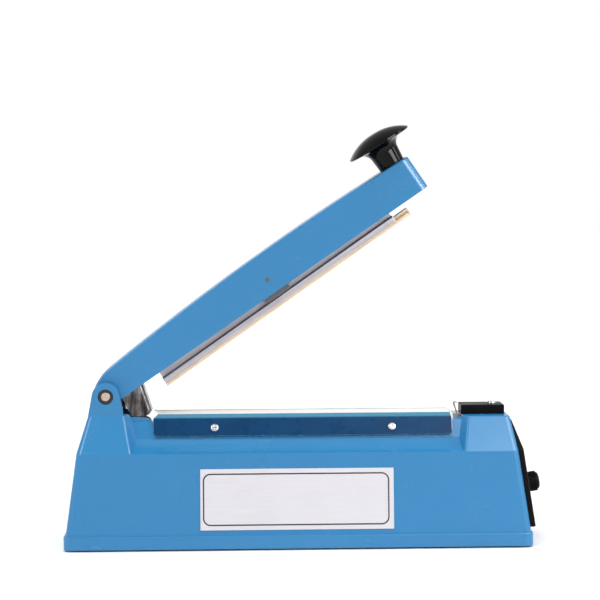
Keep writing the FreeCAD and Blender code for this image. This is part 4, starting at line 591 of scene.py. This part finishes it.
def rounded_loop(low_u, high_u, low_v, high_v, radius):
    """Points of a rectangle with round corners, anticlockwise."""
    points = []
    left, right, bottom, top = low_u + radius, high_u - radius, low_v + radius, high_v - radius
    for centre_u, centre_v, start in ((right, top, 0), (left, top, 90), (left, bottom, 180),
                                      (right, bottom, 270)):
        for step in range(CORNER_STEPS + 1):
            angle = math.radians(start + 90 * step / CORNER_STEPS)
            points.append((centre_u + radius * math.cos(angle), centre_v + radius * math.sin(angle)))
    return points


def make_label_border():
    low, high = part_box("label_plate")
    centre = (Vector(low) + Vector(high)) / 2 + LABEL_OUT * LABEL_HALF_THICKNESS * MM
    half_u, half_v = LABEL_SIZE[0] / 2, LABEL_SIZE[1] / 2
    edges = (-half_u + LABEL_MARGIN["left"], half_u - LABEL_MARGIN["right"], -half_v + LABEL_MARGIN["bottom"],
             half_v - LABEL_MARGIN["top"])
    rows = []
    for inset, height in ((0, BORDER_SINK), (0, BORDER_RISE), (BORDER_WIDTH, BORDER_RISE),
                          (BORDER_WIDTH, BORDER_SINK)):
        loop = rounded_loop(edges[0] + inset, edges[1] - inset, edges[2] + inset, edges[3] - inset,
                            BORDER_CORNER - inset)
        rows.append([centre + (Vector((u, 0, 0)) + LABEL_UP * v + LABEL_OUT * height) * MM for u, v in loop])
    make_piece("label_border", surface("label_border", rows, closed=True), PAINTS["dark_ink"],
               "base")


# Coated sheet over the platform, held down by the two clamp plates
SHEET_ENDS = (-104.0, 102.4)
SHEET_CORNERS = ((17.18, 78.0), (13.58, 86.6), (10.58, 89.6))
FLANK_NORMAL = math.radians(22.7)
CHAMFER_NORMAL = math.radians(45)
SHEET_THICKNESS = 0.25
SHEET_LIFT = 0.15
SHEET_ROWS = 150
TOP_START = 88.5
RIDGE_HEIGHT = 0.55
RIDGE_PLACE = 8.8
RIDGE_WIDTH = 1.1
LOOSE_LENGTH = 4.5


def sheet_section():
    """Half section from the platform's lower edge to its middle, as (y, z), lifted off it."""
    (y0, z0), (y1, z1), (y2, z2) = SHEET_CORNERS
    points = []
    for step in range(6):
        part = step / 5 * 0.96
        points.append((y0 + (y1 - y0) * part + SHEET_LIFT * math.cos(FLANK_NORMAL),
                       z0 + (z1 - z0) * part + SHEET_LIFT * math.sin(FLANK_NORMAL)))
    for step in range(5):
        part = 0.05 + step / 4 * 0.9
        points.append((y1 + (y2 - y1) * part + SHEET_LIFT * math.cos(CHAMFER_NORMAL),
                       z1 + (z2 - z1) * part + SHEET_LIFT * math.sin(CHAMFER_NORMAL)))
    for step in range(9):
        points.append((y2 * 0.97 * (1 - step / 8), z2 + SHEET_LIFT))
    return points


def make_sheet():
    half = sheet_section()
    section = half + [(-y, z) for y, z in half[-2::-1]]
    rows = []
    low_x, high_x = SHEET_ENDS
    for step in range(SHEET_ROWS + 1):
        x = low_x + (high_x - low_x) * step / SHEET_ROWS
        near_hinge = max(0.0, 1 - (x - low_x) / LOOSE_LENGTH)
        row = []
        for y, z in section:
            on_top = max(0.0, min(1.0, z - TOP_START))
            swell = on_top * (0.05 + 0.06 * ripple(x / 14, y / 5, 3.0))
            swell += on_top * RIDGE_HEIGHT * math.exp(-((abs(y) - RIDGE_PLACE) / RIDGE_WIDTH) ** 2)
            lift = on_top * near_hinge ** 2 * (0.9 + 0.8 * ripple(x / 3, y / 3.5, 8.0))
            end_shift = near_hinge ** 3 * 0.5 * ripple(y / 4, z / 4, 5.0) - near_hinge ** 4 * 0.3
            row.append(Vector((x + end_shift, y, z + swell + lift)) * MM)
        rows.append(row)
    sheet = make_piece("sealing_sheet", surface("sealing_sheet", rows), PAINTS["coated_fabric"],
                       "base")
    add_thickness(sheet, SHEET_THICKNESS * MM)
    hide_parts("coated_sheet")


# The sheet's front corner, crumpled where it comes out from under the plate
CORNER_MIDDLE = Vector((-104.2, -12.3, 90.2))
CORNER_TIPS = {"right": Vector((4.3, -0.6, 1.0)), "up": Vector((-0.3, 1.6, 4.6)),
               "left": Vector((-5.2, 0.6, -0.9)), "down": Vector((-0.9, -2.6, -4.8))}
CORNER_RINGS = 9
CORNER_SPOKES = 48
TIP_POWER = 2 / 0.72
CREASE_WAY = Vector((0, -1, 0.2))
CREASE_DEPTH = 0.5
CREASE_SINK = 0.25
WAVE_WAY = Vector((0.2, -0.5, 0.3))


def make_sheet_corner():
    """A film with four drawn-out points, creased from its middle to each of them."""
    tips = list(CORNER_TIPS.values())
    rows = []
    for ring in range(CORNER_RINGS + 1):
        radius = max(0.02, ring / CORNER_RINGS)
        row = []
        for spoke in range(CORNER_SPOKES):
            angle = 2 * math.pi * spoke / CORNER_SPOKES
            quarter = int(angle // (math.pi / 2)) % 4
            turn = angle - quarter * math.pi / 2
            first, second = tips[quarter], tips[(quarter + 1) % 4]
            along = first * math.cos(turn) ** TIP_POWER + second * abs(math.sin(turn)) ** TIP_POWER
            crease = CREASE_WAY * (CREASE_DEPTH * radius * abs(math.sin(2 * angle)) - CREASE_SINK)
            wave = WAVE_WAY * ripple(math.cos(angle) * radius * 2, math.sin(angle) * radius * 2, 2.0)
            row.append((CORNER_MIDDLE + along * radius + crease + wave * radius) * MM)
        rows.append(row)
    corner = make_piece("sheet_corner", surface("sheet_corner", rows, closed=True), PAINTS["coated_fabric"],
                        "base")
    add_thickness(corner, SHEET_THICKNESS * MM)


# Scale round the timer knob, and the knob's pointer
TIMER = next(joint for joint in frame["joints"] if joint["name"] == "timer_knob_turn")
TIMER_OUT = Vector(TIMER["axis"]).normalized()
TIMER_UP = Vector((-TIMER_OUT.z, 0, TIMER_OUT.x))
TIMER_SIDE = Vector((0, 1, 0))
PANEL_THICKNESS = 3.8
KNOB_HEIGHT = 10.9
TICK_RADIUS = (8.9, 10.4)
NUMBER_RADIUS = 12.8
NUMBER_SIZE = 3.2
NUMBER_THICKNESS = 0.03
NUMBER_LIFT = 0.02
LAST_NUMBER = 8
SCALE_TURN = 270
TICK_THICKNESS = 0.05
WHOLE_TICK_HALF_WIDTH = 0.17
HALF_TICK_HALF_WIDTH = 0.1
HALF_TICK_SHORTER = 0.6
MARK_SINK = 0.02
MARK_DRAW_IN = 0.03
POINTER_SPAN = (1.2, 4.0)
POINTER_HALF_WIDTH = 0.35
POINTER_THICKNESS = 0.06


def on_dial(radius, angle, height):
    """A point at a clock angle, in degrees from the top, seen from outside."""
    turn = math.radians(angle)
    flat = TIMER_SIDE * math.sin(turn) * radius + TIMER_UP * math.cos(turn) * radius
    return Vector(TIMER["pos_m"]) + (flat + TIMER_OUT * height) * MM


def dial_bar(mesh, near, far, half_width, angle, height, thickness):
    """A thin bar along a radius of the dial, with its upper edges drawn in."""
    turn = math.radians(angle)
    side = TIMER_SIDE * math.cos(turn) - TIMER_UP * math.sin(turn)
    corners = []
    for level, narrow in ((height - MARK_SINK, 0), (height + thickness, MARK_DRAW_IN)):
        for radius, sign in ((near + narrow, -1), (near + narrow, 1), (far - narrow, 1), (far - narrow, -1)):
            corners.append(mesh.verts.new(on_dial(radius, angle, level)
                                          + side * sign * (half_width - narrow) * MM))
    for spots in ((4, 5, 6, 7), (0, 1, 5, 4), (1, 2, 6, 5), (2, 3, 7, 6), (3, 0, 4, 7), (3, 2, 1, 0)):
        mesh.faces.new([corners[spot] for spot in spots])


def make_timer_scale():
    marks = bmesh.new()
    steps = 2 * LAST_NUMBER
    for step in range(steps + 1):
        angle = SCALE_TURN * (step / steps - 0.5)
        whole = step % 2 == 0
        far = TICK_RADIUS[1] - (0 if whole else HALF_TICK_SHORTER)
        half_width = WHOLE_TICK_HALF_WIDTH if whole else HALF_TICK_HALF_WIDTH
        dial_bar(marks, TICK_RADIUS[0], far, half_width, angle, PANEL_THICKNESS, TICK_THICKNESS)
    turned = Matrix((TIMER_SIDE, TIMER_UP, TIMER_OUT)).transposed().to_4x4()
    for number in range(LAST_NUMBER + 1):
        words = bpy.data.curves.new("dial_number", "FONT")
        words.body = str(number)
        words.size = NUMBER_SIZE * MM
        words.extrude = NUMBER_THICKNESS * MM
        words.align_x = "CENTER"
        words.align_y = "CENTER"
        writing = bpy.data.objects.new("dial_number", words)
        bpy.context.scene.collection.objects.link(writing)
        bpy.context.view_layer.update()
        flat = bpy.data.meshes.new_from_object(writing)
        angle = SCALE_TURN * (number / LAST_NUMBER - 0.5)
        middle = on_dial(NUMBER_RADIUS, angle, PANEL_THICKNESS + NUMBER_LIFT)
        flat.transform(Matrix.Translation(middle) @ turned)
        marks.from_mesh(flat)
        bpy.data.objects.remove(writing)
        bpy.data.curves.remove(words)
        bpy.data.meshes.remove(flat)
    mesh = bpy.data.meshes.new("timer_scale")
    marks.to_mesh(mesh)
    marks.free()
    make_piece("timer_scale", mesh, PAINTS["white_ink"], "base")

    pointer = bmesh.new()
    dial_bar(pointer, *POINTER_SPAN, POINTER_HALF_WIDTH, 0, PANEL_THICKNESS + KNOB_HEIGHT, POINTER_THICKNESS)
    mesh = bpy.data.meshes.new("timer_pointer")
    pointer.to_mesh(mesh)
    pointer.free()
    make_piece("timer_pointer", mesh, PAINTS["white_ink"], "timer_knob_body")


make_camera()
make_studio()
dress_frame()
make_spring()
make_label_border()
make_sheet()
make_sheet_corner()
make_timer_scale()
